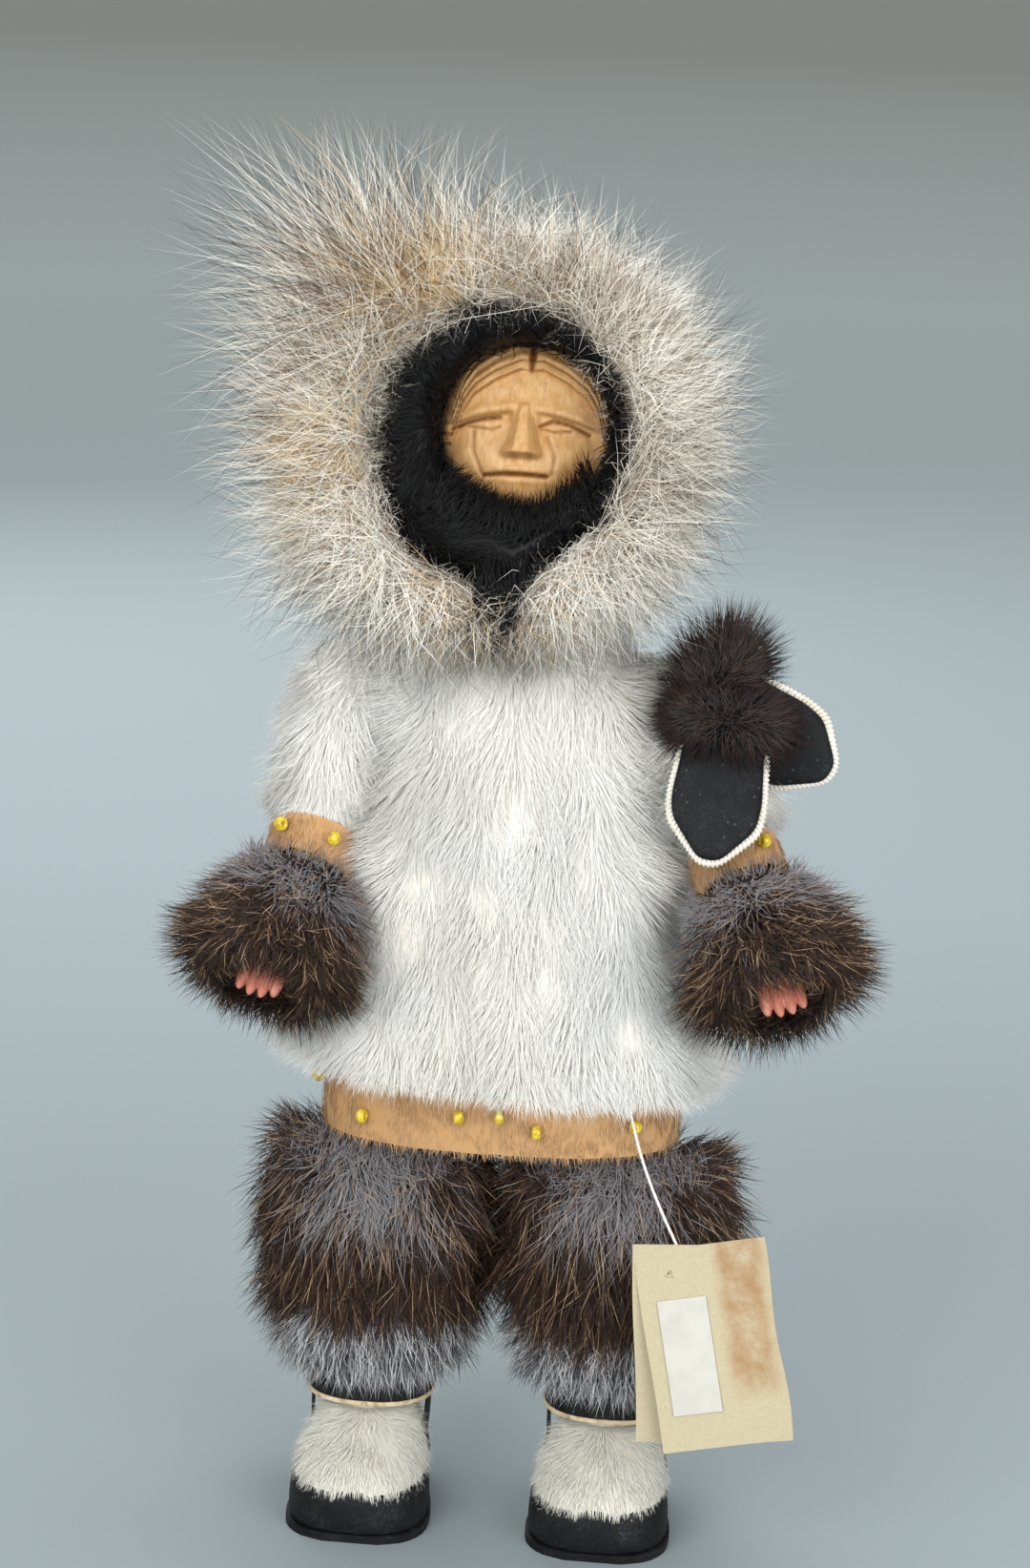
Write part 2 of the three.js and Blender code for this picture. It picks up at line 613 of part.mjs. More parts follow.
// Arms: points from the shoulder cap to the fingertips, outwards, back and up from the shoulder
const armRoutes = {
  right: [[-1.5, 1, 13], [2, -1, -1], [6, -6, -22], [9, -18, -40], [17.5, -41, -67], [22, -58, -83]],
  left: [[-1.5, 1, 13], [3, -1, -1], [11, -7, -22], [19, -19, -39], [32, -41, -64], [39, -58, -79]],
};

const sleeveStops = [
  [0, SLEEVE_DIAMETER * 0.2],
  [SLEEVE_LENGTH * 0.05, SLEEVE_DIAMETER * 0.58],
  [SLEEVE_LENGTH * 0.16, SLEEVE_DIAMETER * 0.84],
  [SLEEVE_LENGTH * 0.45, SLEEVE_DIAMETER],
  [SLEEVE_LENGTH * 0.8, SLEEVE_DIAMETER * 0.97],
  [SLEEVE_LENGTH, SLEEVE_DIAMETER * 0.9],
];
const cuffStart = SLEEVE_LENGTH + SEAM_GAP;
const cuffEnd = cuffStart + SLEEVE_CUFF_LENGTH;
const furStart = cuffEnd + SEAM_GAP;
const furEnd = furStart + WRIST_FUR_LENGTH;
const armStops = [
  [SLEEVE_LENGTH * 0.11, ARM_DIAMETER * 0.7],
  [SLEEVE_LENGTH * 0.25, ARM_DIAMETER],
  [cuffEnd, ARM_DIAMETER],
];
const cuffStops = [[cuffStart, SLEEVE_CUFF_DIAMETER], [cuffEnd, SLEEVE_CUFF_DIAMETER]];
const furStops = [[0, 0.66], [0.15, 0.88], [0.4, 1], [0.68, 0.96], [0.9, 0.8], [1, 0.58]]
  .map(([along, wide]) => [mix(furStart, furEnd, along), WRIST_FUR_DIAMETER * wide]);
const mouthStops = [
  [furStart - MOUTH_EASE, HAND_WIDTH + 2 * MOUTH_EASE],
  [furEnd - MOUTH_FLARE_LENGTH, HAND_WIDTH + 3 * MOUTH_EASE],
  [furEnd + 2 * MOUTH_EASE, HAND_WIDTH + 2 * MOUTH_FLARE],
];

// A flat palm with four fingers side by side
function hand(path) {
  const palmEnd = furEnd - FINGER_LENGTH * 0.8;
  const { middle, along, across } = pathFrame(path, palmEnd / path.getLength());
  const palm = limb(path, [
    [furStart, HAND_THICKNESS],
    [mix(furStart, palmEnd, 0.5), HAND_THICKNESS * 1.1],
    [palmEnd, HAND_WIDTH],
    [palmEnd + KNUCKLE, HAND_WIDTH * 0.8],
  ], { sides: 8, steps: 5 });
  const fingers = [-1.5, -0.5, 0.5, 1.5].map((place) => {
    const root = middle.clone().addScaledVector(along, -KNUCKLE)
      .addScaledVector(across, (place * HAND_WIDTH) / 4);
    const reach = FINGER_LENGTH + KNUCKLE - Math.abs(place);
    const stretch = new THREE.LineCurve3(root, root.clone().addScaledVector(along, reach));
    const stops = [[0, 1], [0.6, 0.95], [0.9, 0.7], [1, 0.25]]
      .map(([share, wide]) => [reach * share, FINGER_THICKNESS * wide]);
    return limb(stretch, stops, { sides: 6, steps: 3 });
  });
  return join(palm, ...fingers);
}

const cuffBeadTurns = [60, 120].map(degrees); // round the cuff, over the top from the doll's left

function makeArm(side, sign) {
  const arm = new THREE.Group();
  arm.position.set((sign * SHOULDER_SPACING) / 2, SHOULDER_SETBACK, shoulder);
  const route = armRoutes[side].map(([out, y, z]) => new THREE.Vector3(sign * out, y, z));
  const path = new THREE.CatmullRomCurve3(route);
  const inward = (SHOULDER_SPACING - ARMHOLE_SPACING) / 2 - SEAM_GAP;
  const trunkSide = box(LARGE, LARGE, LARGE, -sign * (inward + LARGE / 2), 0, 0);
  const bore = limb(path, armStops, { grow: SEAM_GAP, sides: 10, steps: 4 });
  piece(arm, `arm_${side}`, limb(path, armStops, { sides: 10, steps: 4 }), COTTON);
  piece(arm, `sleeve_${side}`, cut(limb(path, sleeveStops), bore, trunkSide), WHITE_FUR);
  piece(arm, `sleeve_cuff_${side}`, cut(limb(path, cuffStops, { steps: 2 }), bore), TAN_HIDE);
  const mouth = limb(path, mouthStops, { sides: 10, steps: 4 });
  piece(arm, `wrist_fur_${side}`, cut(limb(path, furStops), mouth), BROWN_FUR);
  piece(arm, `hand_${side}`, hand(path), PINK_PLASTIC);
  cuffBeadTurns.forEach((turn, i) => {
    const { middle, along, across, over } = pathFrame(path, mix(cuffStart, cuffEnd, 0.5) / path.getLength());
    const outward = across.multiplyScalar(Math.cos(turn)).addScaledVector(over, Math.sin(turn));
    const seat = middle.addScaledVector(outward, SLEEVE_CUFF_DIAMETER / 2);
    sewBead(arm, `cuff_bead_${side}_${i + 1}`, seat, outward, along.clone().cross(outward));
  });
  doll.add(arm);
  return { arm, path };
}

makeArm('right', -1);
const leftArm = makeArm('left', 1);

// Mittens: flat leather palms on white backs, with mink cuffs seated on the sleeve
function mittenShape(inset) {
  const half = MITTEN_WIDTH / 2 - inset;
  const wrist = MITTEN_CUFF_WIDTH / 2 - inset;
  const tip = MITTEN_TIP_WIDTH / 2;
  const end = MITTEN_LENGTH - inset;
  return new THREE.Shape([
    [-wrist, 0], [-half, -end * 0.62], [-half * 0.93, -end * 0.75], [-tip, -end], [tip, -end],
    [half * 0.93, -end * 0.78], [half, -end * 0.62], [wrist, 0],
  ].map((p) => new THREE.Vector2(...p)));
}

function mittenLayer(inset, thickness, front, grow = 0) {
  const bevel = thickness * 0.3;
  return new THREE.ExtrudeGeometry(mittenShape(inset + bevel - grow), {
    depth: thickness - 2 * bevel + 2 * grow,
    bevelThickness: bevel, bevelSize: bevel, bevelSegments: 1, steps: 1,
  }).translate(0, 0, front + bevel - grow);
}

const mittens = [
  { name: 'front_mitten', place: [15.5, -24.5, 4.5], turn: [66, 0, -4] },
  { name: 'side_mitten', place: [7, -18, 8], turn: [84, 0, 60] },
];
const backFront = -MITTEN_BACK_THICKNESS - SEAM_GAP;
const mittenBack = (grow) => mittenLayer(0, MITTEN_BACK_THICKNESS, backFront, grow);
const mittenPalm = (grow) => mittenLayer(MITTEN_EDGE, MITTEN_PALM_THICKNESS, 0, grow);

function minkBall(grow) {
  const [width, height] = [MINK_WIDTH + 2 * grow, MINK_HEIGHT + 2 * grow];
  return new THREE.SphereGeometry(0.5, 14, 8).scale(width, height, height).translate(0, -MINK_DROP, 0);
}

for (const mitten of mittens) {
  mitten.group = new THREE.Group();
  mitten.group.position.set(...mitten.place);
  mitten.group.rotation.set(...mitten.turn.map(degrees));
  mitten.group.updateMatrix();
  piece(mitten.group, `${mitten.name}_back`, mittenBack(0), WHITE_LEATHER);
  piece(mitten.group, `${mitten.name}_palm`, mittenPalm(0), BLACK_LEATHER);
  leftArm.arm.add(mitten.group);
}

// Each mink cuff gives way to the sleeve, to both mittens and to the cuff before it
mittens.forEach(({ name, group }, i) => {
  const placed = (form, other) => form(SEAM_GAP).applyMatrix4(other.group.matrix);
  const leather = mittens.flatMap((other) => [placed(mittenBack, other), placed(mittenPalm, other)]);
  const earlier = mittens.slice(0, i).map((other) => placed(minkBall, other));
  const obstacles = [limb(leftArm.path, sleeveStops, { grow: SEAM_GAP }), ...leather, ...earlier];
  const toGroup = group.matrix.clone().invert();
  const mink = cut(minkBall(0), ...obstacles.map((obstacle) => obstacle.applyMatrix4(toGroup)));
  piece(group, `${name}_mink`, mink, MINK_FUR);
});

// Head: wooden core on the neck post, carved face, black lining, ruff and hood
const head = new THREE.Group();
head.position.set(0, HEAD_SETBACK, headHeight);
doll.add(head);

const bump = (value, size) => Math.exp(-((value / size) ** 2));

// Relief of the face above its flat back: dome, wedge nose, closed eyes, mouth and hairline
function faceDepth(x, z) {
  const rim = (x / (FACE_WIDTH / 2)) ** 2 + (z / (FACE_HEIGHT / 2)) ** 2;
  const dome = FACE_EDGE + FACE_BULGE * Math.sqrt(Math.max(0, 1 - rim));
  const noseTop = FACE_HEIGHT * 0.14;
  const down = (noseTop - z) / NOSE_LENGTH;
  const noseHalf = (NOSE_WIDTH / 2) * (0.4 + 0.6 * down);
  const onNose = down > 0 && down < 1 && Math.abs(x) < noseHalf;
  const nose = onNose ? NOSE_HEIGHT * down * (1 - (x / noseHalf) ** 2) : 0;
  const besideEye = Math.abs(x) - EYE_SPACING / 2;
  const socket = SOCKET_DEPTH * bump(besideEye, EYE_WIDTH * 0.55) * bump(z - EYE_RISE, EYE_WIDTH * 0.32);
  const lid = LID_HEIGHT * bump(besideEye, EYE_WIDTH * 0.45) * bump(z - EYE_RISE, EYE_WIDTH * 0.14);
  const lips = LIP_HEIGHT * bump(x, MOUTH_WIDTH / 2) * bump(z + MOUTH_DROP, MOUTH_WIDTH * 0.2);
  const mouth = MOUTH_DEPTH * bump(x, MOUTH_WIDTH / 2) * bump(z + MOUTH_DROP, MOUTH_WIDTH * 0.06);
  const hairline = FACE_HEIGHT * 0.4 - (Math.abs(x) / (FACE_WIDTH / 2)) ** 2 * FACE_HEIGHT * 0.36;
  const hair = HAIR_RISE * THREE.MathUtils.smoothstep(z, hairline - HAIR_RISE, hairline + HAIR_RISE);
  return dome + nose - socket + lid + lips - mouth + hair;
}

// The face's front is a grid spread over an oval, closed by a flat back
function carvedFace(grow = 0, columns = 24, rows = 26) {
  const at = (i, j) => i + j * (columns + 1);
  const points = [];
  for (let j = 0; j <= rows; j += 1) {
    for (let i = 0; i <= columns; i += 1) {
      const u = (i / columns) * 2 - 1;
      const v = (j / rows) * 2 - 1;
      const x = (FACE_WIDTH / 2) * u * Math.sqrt(1 - (v * v) / 2);
      const z = (FACE_HEIGHT / 2) * v * Math.sqrt(1 - (u * u) / 2);
      const wide = 1 + grow / (FACE_WIDTH / 2);
      points.push(new THREE.Vector3(x * wide, FACE_BACK - faceDepth(x, z) - grow, z * wide));
    }
  }
  const faces = [];
  for (let j = 0; j < rows; j += 1) {
    for (let i = 0; i < columns; i += 1) {
      const [a, b, c, d] = [at(i, j), at(i + 1, j), at(i + 1, j + 1), at(i, j + 1)];
      faces.push(a, b, c, a, c, d);
    }
  }
  const rim = [];
  for (let i = 0; i < columns; i += 1) rim.push(at(i, 0));
  for (let j = 0; j < rows; j += 1) rim.push(at(columns, j));
  for (let i = columns; i > 0; i -= 1) rim.push(at(i, rows));
  for (let j = rows; j > 0; j -= 1) rim.push(at(0, j));
  const backStart = points.length;
  rim.forEach((k) => points.push(points[k].clone().setY(FACE_BACK + grow)));
  const middle = points.length;
  points.push(new THREE.Vector3(0, FACE_BACK + grow, 0));
  rim.forEach((k, n) => {
    const m = (n + 1) % rim.length;
    const [back, backNext] = [backStart + n, backStart + m];
    faces.push(k, back, rim[m], rim[m], back, backNext, middle, backNext, back);
  });
  return new THREE.BufferGeometry().setFromPoints(points).setIndex(faces);
}

function oval(width, height, x = 0, z = 0) {
  return (angle) => [x + (width / 2) * Math.cos(angle), z + (height / 2) * Math.sin(angle)];
}

function nearAngle(angle, target, spread) {
  return bump(Math.atan2(Math.sin(angle - target), Math.cos(angle - target)), spread);
}

const liningEdge = (grow) => (a) => {
  const [x, z] = oval(LINING_WIDTH + 2 * grow, LINING_HEIGHT + 2 * grow, LINING_SHIFT, -LINING_DROP)(a);
  return [x, z - LINING_TAIL * nearAngle(a, LINING_TAIL_ANGLE, LINING_TAIL_SPREAD)];
};
const ruffEdge = (a) => {
  const tuft = 1 + (TUFT_HEIGHT / (RUFF_WIDTH / 2)) * nearAngle(a, TUFT_ANGLE, TUFT_SPREAD);
  const [x, z] = oval(RUFF_WIDTH, RUFF_HEIGHT)(a);
  return [x * tuft + RUFF_SHIFT, z * tuft];
};

const ruffFront = RUFF_BACK - RUFF_DEPTH;
const liningFront = ruffFront + LINING_INSET;
const opening = oval(FACE_OPENING_WIDTH, FACE_OPENING_HEIGHT, 0, -FACE_DROP);
const liningRing = furRing(opening, liningEdge(0), liningFront, liningFront + LINING_DEPTH, 32, 8);
const faceSeat = carvedFace(FACE_SEAT_GAP, 10, 10).translate(0, 0, -FACE_DROP);
const ruff = furRing(liningEdge(SEAM_GAP), ruffEdge, ruffFront, RUFF_BACK, 40, 10);

const headPost = upright(NECK_POST_DIAMETER + 2 * SEAM_GAP, -LARGE, postTop + SEAM_GAP - headHeight, 0);
const coreBall = (grow) => new THREE.SphereGeometry(CORE_DIAMETER / 2 + grow, 16, 10)
  .translate(0, CORE_SETBACK, 0);
const inFrontOf = (y) => box(LARGE, LARGE, LARGE, 0, y - LARGE / 2, 0).rotateX(-HEAD_TILT);

// Hood: share of the height, of the width and depth, and of how far back its middle lies
const hoodLoft = smooth([
  [0, 0.46, 0], [0.12, 0.74, 0.33], [0.27, 0.94, 0.78], [0.46, 1, 1],
  [0.67, 0.96, 1], [0.86, 0.72, 0.9], [0.96, 0.4, 0.78], [1, 0.12, 0.78],
].map(([rise, wide, back]) => section(
  NECK_GAP - HEAD_RISE + rise * HOOD_HEIGHT,
  wide * HOOD_WIDTH,
  wide * HOOD_DEPTH,
  back * HOOD_SETBACK,
)), 12);
const hoodFront = inFrontOf(RUFF_BACK + SEAM_GAP);

piece(head, 'head_core', cut(coreBall(0), inFrontOf(FACE_BACK + SEAM_GAP), headPost), WOOD);
piece(head, 'carved_face', carvedFace().translate(0, 0, -FACE_DROP).rotateX(-HEAD_TILT), WOOD);
piece(head, 'face_lining', cut(liningRing, faceSeat).rotateX(-HEAD_TILT), BLACK_FUR);
piece(head, 'hood_ruff', ruff.rotateX(-HEAD_TILT), RUFF_FUR);
piece(head, 'hood', cut(loft(hoodLoft), coreBall(SEAM_GAP), hoodFront, headPost), WHITE_FUR);

// The doll stands on its soles, centred over the origin
const body = new THREE.Box3().setFromObject(doll);
const centre = body.getCenter(new THREE.Vector3());
doll.position.set(-centre.x, -centre.y, -body.min.z);

// Tag: a folded card with a sticker, on a thread sewn under the hem
const tag = new THREE.Group();
const hemEdge = hem - Math.tan(HEM_SLANT) * THREAD_SPACING;
const hemShare = 1 - (THREAD_SPACING / (HEM_WIDTH / 2)) ** ROUNDNESS;
const hemFront = (-HEM_DEPTH / 2) * hemShare ** (1 / ROUNDNESS);
tag.position.set(THREAD_SPACING, hemFront + HEM_THICKNESS / 2, hemEdge - THREAD_GAP);
doll.add(tag);

const threadRoute = [
  [0, 0, 0], [1.2, -0.3, -4], [4, -3.6, -12], [7.5, -6.6, -20], [11.5, -8.7, -28], [15.5, -10, -35.5],
].map((point) => new THREE.Vector3(...point));
piece(tag, 'tag_thread', tube(new THREE.CatmullRomCurve3(threadRoute), THREAD_DIAMETER, 16), COTTON);

const card = new THREE.Group();
card.position.copy(threadRoute.at(-1)).add(new THREE.Vector3(FOLD_HOLE_OFFSET, 0, THREAD_DIAMETER / 2));
card.rotation.set(-TAG_LEAN, -TAG_TURN, 0);
tag.add(card);

const leaf = (lean, skew) => box(TAG_WIDTH, CARD_THICKNESS, TAG_LENGTH, 0, 0, -TAG_LENGTH / 2)
  .rotateY(skew).rotateX(lean);
const leaves = join(leaf(-TAG_SPLAY / 2, 0), leaf(TAG_SPLAY / 2, TAG_SKEW));
const foldHole = upright(THREAD_DIAMETER + 2 * SEAM_GAP, -FOLD_HOLE_DEPTH, FOLD_HOLE_DEPTH, 0)
  .translate(-FOLD_HOLE_OFFSET, 0, 0);
piece(card, 'tag_card', cut(leaves, foldHole), CARD);
const stickerX = STICKER_INSET + (STICKER_WIDTH - TAG_WIDTH) / 2;
const stickerY = -(CARD_THICKNESS + STICKER_THICKNESS) / 2 - SEAM_GAP;
const stickerZ = -STICKER_DROP - STICKER_LENGTH / 2;
const sticker = box(STICKER_WIDTH, STICKER_THICKNESS, STICKER_LENGTH, stickerX, stickerY, stickerZ);
piece(card, 'tag_sticker', sticker.rotateX(-TAG_SPLAY / 2), PAPER);

export default doll;
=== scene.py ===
"""Looks of a fur doll in winter dress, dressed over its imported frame."""

import json
import math

import bpy
import numpy as np
from mathutils import Euler, Matrix, Quaternion, Vector
from mathutils.bvhtree import BVHTree
from mathutils.geometry import convex_hull_2d
from mathutils.kdtree import KDTree


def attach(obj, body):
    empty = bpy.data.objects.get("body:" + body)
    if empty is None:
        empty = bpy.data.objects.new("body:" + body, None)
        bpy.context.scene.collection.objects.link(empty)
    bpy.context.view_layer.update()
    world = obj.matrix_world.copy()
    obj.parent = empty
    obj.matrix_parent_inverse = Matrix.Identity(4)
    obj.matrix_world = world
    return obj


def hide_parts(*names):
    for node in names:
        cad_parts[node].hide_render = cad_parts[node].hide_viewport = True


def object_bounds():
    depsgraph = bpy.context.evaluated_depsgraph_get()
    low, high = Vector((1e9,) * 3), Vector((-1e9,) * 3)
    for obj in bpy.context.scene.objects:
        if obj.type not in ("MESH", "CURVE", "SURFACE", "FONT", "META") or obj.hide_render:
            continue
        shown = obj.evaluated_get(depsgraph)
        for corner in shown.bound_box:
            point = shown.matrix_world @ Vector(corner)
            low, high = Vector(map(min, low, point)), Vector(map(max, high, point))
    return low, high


bl_info = {
    "name": "Fur doll",
    "version": (1, 0, 0),
    "blender": (4, 5, 0),
    "location": "View3D > Sidebar > Fur doll",
    "description": "Dresses a jointed fur doll: pelts, carved face, boots, mittens and tag",
    "category": "Object",
}

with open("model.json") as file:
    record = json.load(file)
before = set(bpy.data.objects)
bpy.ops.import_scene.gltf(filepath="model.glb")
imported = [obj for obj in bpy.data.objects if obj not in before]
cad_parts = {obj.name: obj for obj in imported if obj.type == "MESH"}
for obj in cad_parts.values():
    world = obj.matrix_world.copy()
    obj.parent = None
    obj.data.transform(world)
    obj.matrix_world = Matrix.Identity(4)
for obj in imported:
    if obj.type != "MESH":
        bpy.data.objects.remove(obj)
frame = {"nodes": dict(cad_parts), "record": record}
cad_low, cad_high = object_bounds()
bpy.ops.object.select_all(action="DESELECT")

MM = 0.001
UV_NAME = "OFBake"
SIDES = {"left": 1, "right": -1}
FULL_TURN = 2 * math.pi

# Places and sizes in millimetres, as in the part's source
DOLL = np.array([-6.7267, 2.7680, 0.0])
HEAD = DOLL + [0.0, 4.0, 311.6]
HEAD_TILT = math.radians(-10)
FACE_WIDE, FACE_HIGH = 23.0, 24.5
FACE_BACK, FACE_DROP = -8.0, -4.0
LINING_X, LINING_Z, LINING_WIDE, LINING_HIGH = -5.0, -6.5, 32.5, 36.0
LINING_HOLE_WIDE, LINING_HOLE_HIGH = 20.5, 21.0
RUFF_X, RUFF_WIDE, RUFF_HIGH = -10.5, 67.0, 58.0
FUR_FRONT, RUFF_BACK, LINING_BACK = -33.0, -4.0, -13.0
HEM_SLANT = math.tan(math.radians(2.5))
HEM, NECK, SLANT_RISE = 131.6, 254.6, 41.0
HOOD_END, HOOD_BEND, HOOD_TOP, HOOD_BACK = 255.4, 350.0, 358.4, 13.0
SHOULDER = np.array([43.0, 1.0, 237.0])
LEG_OUT, LEGGING_TOP, LEGGING_END, LEGGING_LONG = 34.0, 111.0, 63.2, 48.0
WALL_BASE, WALL_TOP = 2.7, 14.7
FOOT_HALF, FOOT_LONG, FOOT_HIGH, HEEL = 19.5, 57.0, 28.0, 17.0
ANKLE_HALF = np.array([16.0, 15.0])
# Places round the face, in degrees up from the doll's left
LINING_TAIL, CHIN_HAIR, RUFF_TUFT, SIDE_LOCK, RUFF_TOP = 274, (234, 331), 137, 126, 76
# Where pieces start and end: along the arm from its cap, and in height
SLEEVE_RUN, CUFF_RUN, WRIST_RUN = (1.5, 56.6), (57.4, 68.2), (69.0, 105.8)
HIP_BAND_RUN, BOOT_CUFF_RUN = (137.6, 112.4), (62.0, 38.7)
# Heights where the parka covers the hip band, and where the boot cuffs' hair ends
BAND_COVERED, BOOT_CUFF_HAIR_END = 134, 36.6
# A bead's ring and its wire, its stretch along the hole and the height of its middle over its band
BEAD_RING, BEAD_WIRE, BEAD_STRETCH, BEAD_SEAT = 1.3, 0.7, 1.8, 1.75
MINK_HALF, MINK_ROUND = 14.5, 8.5
# Skin of the white fur: how far under the ends of its hair, and how thick
SKIN_DEPTH, SKIN_WALL = 1.4, 1.8
ARM_ROUTES = {
    "right": [(-1.5, 1, 13), (2, -1, -1), (6, -6, -22), (9, -18, -40), (17.5, -41, -67), (22, -58, -83)],
    "left": [(-1.5, 1, 13), (3, -1, -1), (11, -7, -22), (19, -19, -39), (32, -41, -64), (39, -58, -79)],
}
THREAD_EXIT = np.array([30.2733, -22.7362, 129.0845])
THREAD_ROUTE = [
    (0, 0, 0), (1.2, -0.3, -4), (4, -3.6, -12), (7.5, -6.6, -20), (11.5, -8.7, -28), (15.5, -10, -35.5),
]
CARD_PLACE = THREAD_EXIT + [21.5, -10.0, -35.1]
CARD_WIDE, CARD_HIGH, CARD_LEAN = 36.0, 56.0, -2.5
CARD_TURN, CARD_HOLE = (-7, -12, 0), (-9.0, 0, -7.2)
LABEL_X, LABEL_Z, LABEL_WIDE, LABEL_HIGH = -6.75, -30.0, 13.5, 32.0
# How far hair may stand out of the frame's box: a share of it and a margin
BOX_SHARE, BOX_MARGIN = 0.03, 8.5
BOX = np.array(cad_high) - np.array(cad_low)
ROOM_LOW = (np.array(cad_low) - BOX_SHARE * BOX) / MM - BOX_MARGIN
ROOM_HIGH = (np.array(cad_high) + BOX_SHARE * BOX) / MM + BOX_MARGIN
# The foot from heel to toe: share of its length, half width and height
FOOT_PROFILE = [
    (0, 0.45, 0.62), (0.05, 0.68, 0.86), (0.2, 0.82, 1), (0.4, 0.9, 1), (0.55, 0.97, 0.9),
    (0.69, 1, 0.79), (0.83, 0.95, 0.68), (0.94, 0.74, 0.58), (1, 0.36, 0.45),
]
# Camera lens and sensor, the height it looks at and the floor's radius in metres
LENS, SENSOR, AIM_HEIGHT, FLOOR_RADIUS = 87.6, 36.0, 211.0, 60.0


def linear(code):
    """An sRGB hex colour as linear red, green, blue and alpha."""
    parts = [int(code[i:i + 2], 16) / 255 for i in (1, 3, 5)]
    return [c / 12.92 if c <= 0.04045 else ((c + 0.055) / 1.055) ** 2.4 for c in parts] + [1.0]


def length_setting(name, what, size):
    return bpy.props.FloatProperty(name=name, description=what, default=size, unit="LENGTH")


def angle_setting(name, what, degrees):
    return bpy.props.FloatProperty(
        name=name, description=what, default=math.radians(degrees), subtype="ANGLE")


def colour_setting(name, what, code):
    return bpy.props.FloatVectorProperty(
        name=name, description=what, size=4, subtype="COLOR", default=linear(code))


class FurSizes(bpy.types.PropertyGroup):
    """Lengths of the hair on each pelt."""

    parka: length_setting("Parka hair", "Hair length of the white parka", 0.0125)
    ruff: bpy.props.FloatProperty(
        name="Ruff reach", description="Share of the ruff's width that its guard hairs fill", default=1.0)
    lining: length_setting("Lining hair", "Hair length of the black lining", 0.010)
    wrist: length_setting("Wrist hair", "Hair length of the wrist cuffs", 0.019)
    legging: length_setting("Legging hair", "Hair length of the leggings", 0.021)
    boot_cuff: length_setting("Boot cuff hair", "Hair length of the boot cuffs", 0.013)
    vamp: length_setting("Boot hair", "Hair length of the boots' tops", 0.0065)
    mink: length_setting("Mink hair", "Hair length of the mitten cuffs", 0.0125)
    calf: length_setting("Calf hair", "Hair length of the tan hide", 0.0032)


class StageSizes(bpy.types.PropertyGroup):
    """The camera and the floor."""

    distance: length_setting("Distance", "Camera to the doll's middle", 1.05)
    azimuth: angle_setting("Azimuth", "Camera round the doll", 5)
    elevation: angle_setting("Elevation", "Camera above level", 14)
    roll: angle_setting("Roll", "Turn of the camera on its axis", 2.4)
    floor: colour_setting("Floor", "Colour of the floor round the doll", "#899498")


class DollColours(bpy.types.PropertyGroup):
    """Main colours of the doll's materials."""

    wood: colour_setting("Wood", "Carved face", "#c0925a")
    leather: colour_setting("Leather", "Boots and mitten palms", "#141517")
    bead: colour_setting("Beads", "Glass beads", "#ecc915")
    card: colour_setting("Card", "Tag card", "#bcb193")
    skin: colour_setting("Hands", "Moulded hands", "#c07764")


def colour(name):
    return list(getattr(bpy.context.scene.doll_colours, name))


def fur_length(name):
    """A pelt's hair length, in millimetres."""
    return getattr(bpy.context.scene.doll_fur, name) / MM


# Lines and surfaces in numpy, in millimetres


def unit(v):
    return v / np.maximum(np.linalg.norm(v, axis=-1, keepdims=True), 1e-9)


def ease(low, high, value):
    """A smooth step from 0 at low to 1 at high."""
    t = np.clip((value - low) / (high - low), 0, 1)
    return t * t * (3 - 2 * t)


def bell(value, middle, width):
    """A smooth peak that is 1 at its middle."""
    return np.exp(-(((value - middle) / width) ** 2))


def hump(angle, middle, width):
    """A peak over angles, its middle and width in degrees."""
    return bell(angle, math.radians(middle), math.radians(width))


def lobe(angle, middle, width):
    """A peak over angles that is the same after each full turn."""
    off = angle - math.radians(middle)
    return hump(np.arctan2(np.sin(off), np.cos(off)), 0, width)


def route(points, count):
    """Evenly spaced points on a centripetal curve through the given ones, and its length."""
    p = np.array(points, float)
    p = np.vstack([2 * p[0] - p[1], p, 2 * p[-1] - p[-2]])
    fine = []
    for a, b, c, d in zip(p, p[1:], p[2:], p[3:]):
        da, db, dc = (max(np.linalg.norm(v) ** 0.5, 1e-4) for v in (b - a, c - b, d - c))
        m1 = db * ((b - a) / da - (c - a) / (da + db) + (c - b) / db)
        m2 = db * ((c - b) / db - (d - b) / (db + dc) + (d - c) / dc)
        t = np.linspace(0, 1, 60, endpoint=False)[:, None]
        fine.append(b + m1 * t + (3 * (c - b) - 2 * m1 - m2) * t**2 + (2 * (b - c) + m1 + m2) * t**3)
    fine = np.vstack([*fine, p[-2][None]])
    far = np.concatenate([[0], np.cumsum(np.linalg.norm(np.diff(fine, axis=0), axis=1))])
    at = np.linspace(0, far[-1], count)
    return np.stack([np.interp(at, far, fine[:, k]) for k in range(fine.shape[1])], 1), far[-1]


def wander(places, size, seed, waves=6):
    """A smooth random vector at each place, which changes over about that size."""
    chance = np.random.default_rng(seed)
    total = np.zeros_like(places)
    for _ in range(waves):
        wave = unit(chance.normal(size=3)) * 2 * math.pi / size * chance.uniform(0.5, 1.5)
        total += chance.normal(size=3) * np.sin(places @ wave + chance.uniform(0, 6.3))[:, None]
    return total / math.sqrt(waves / 2)


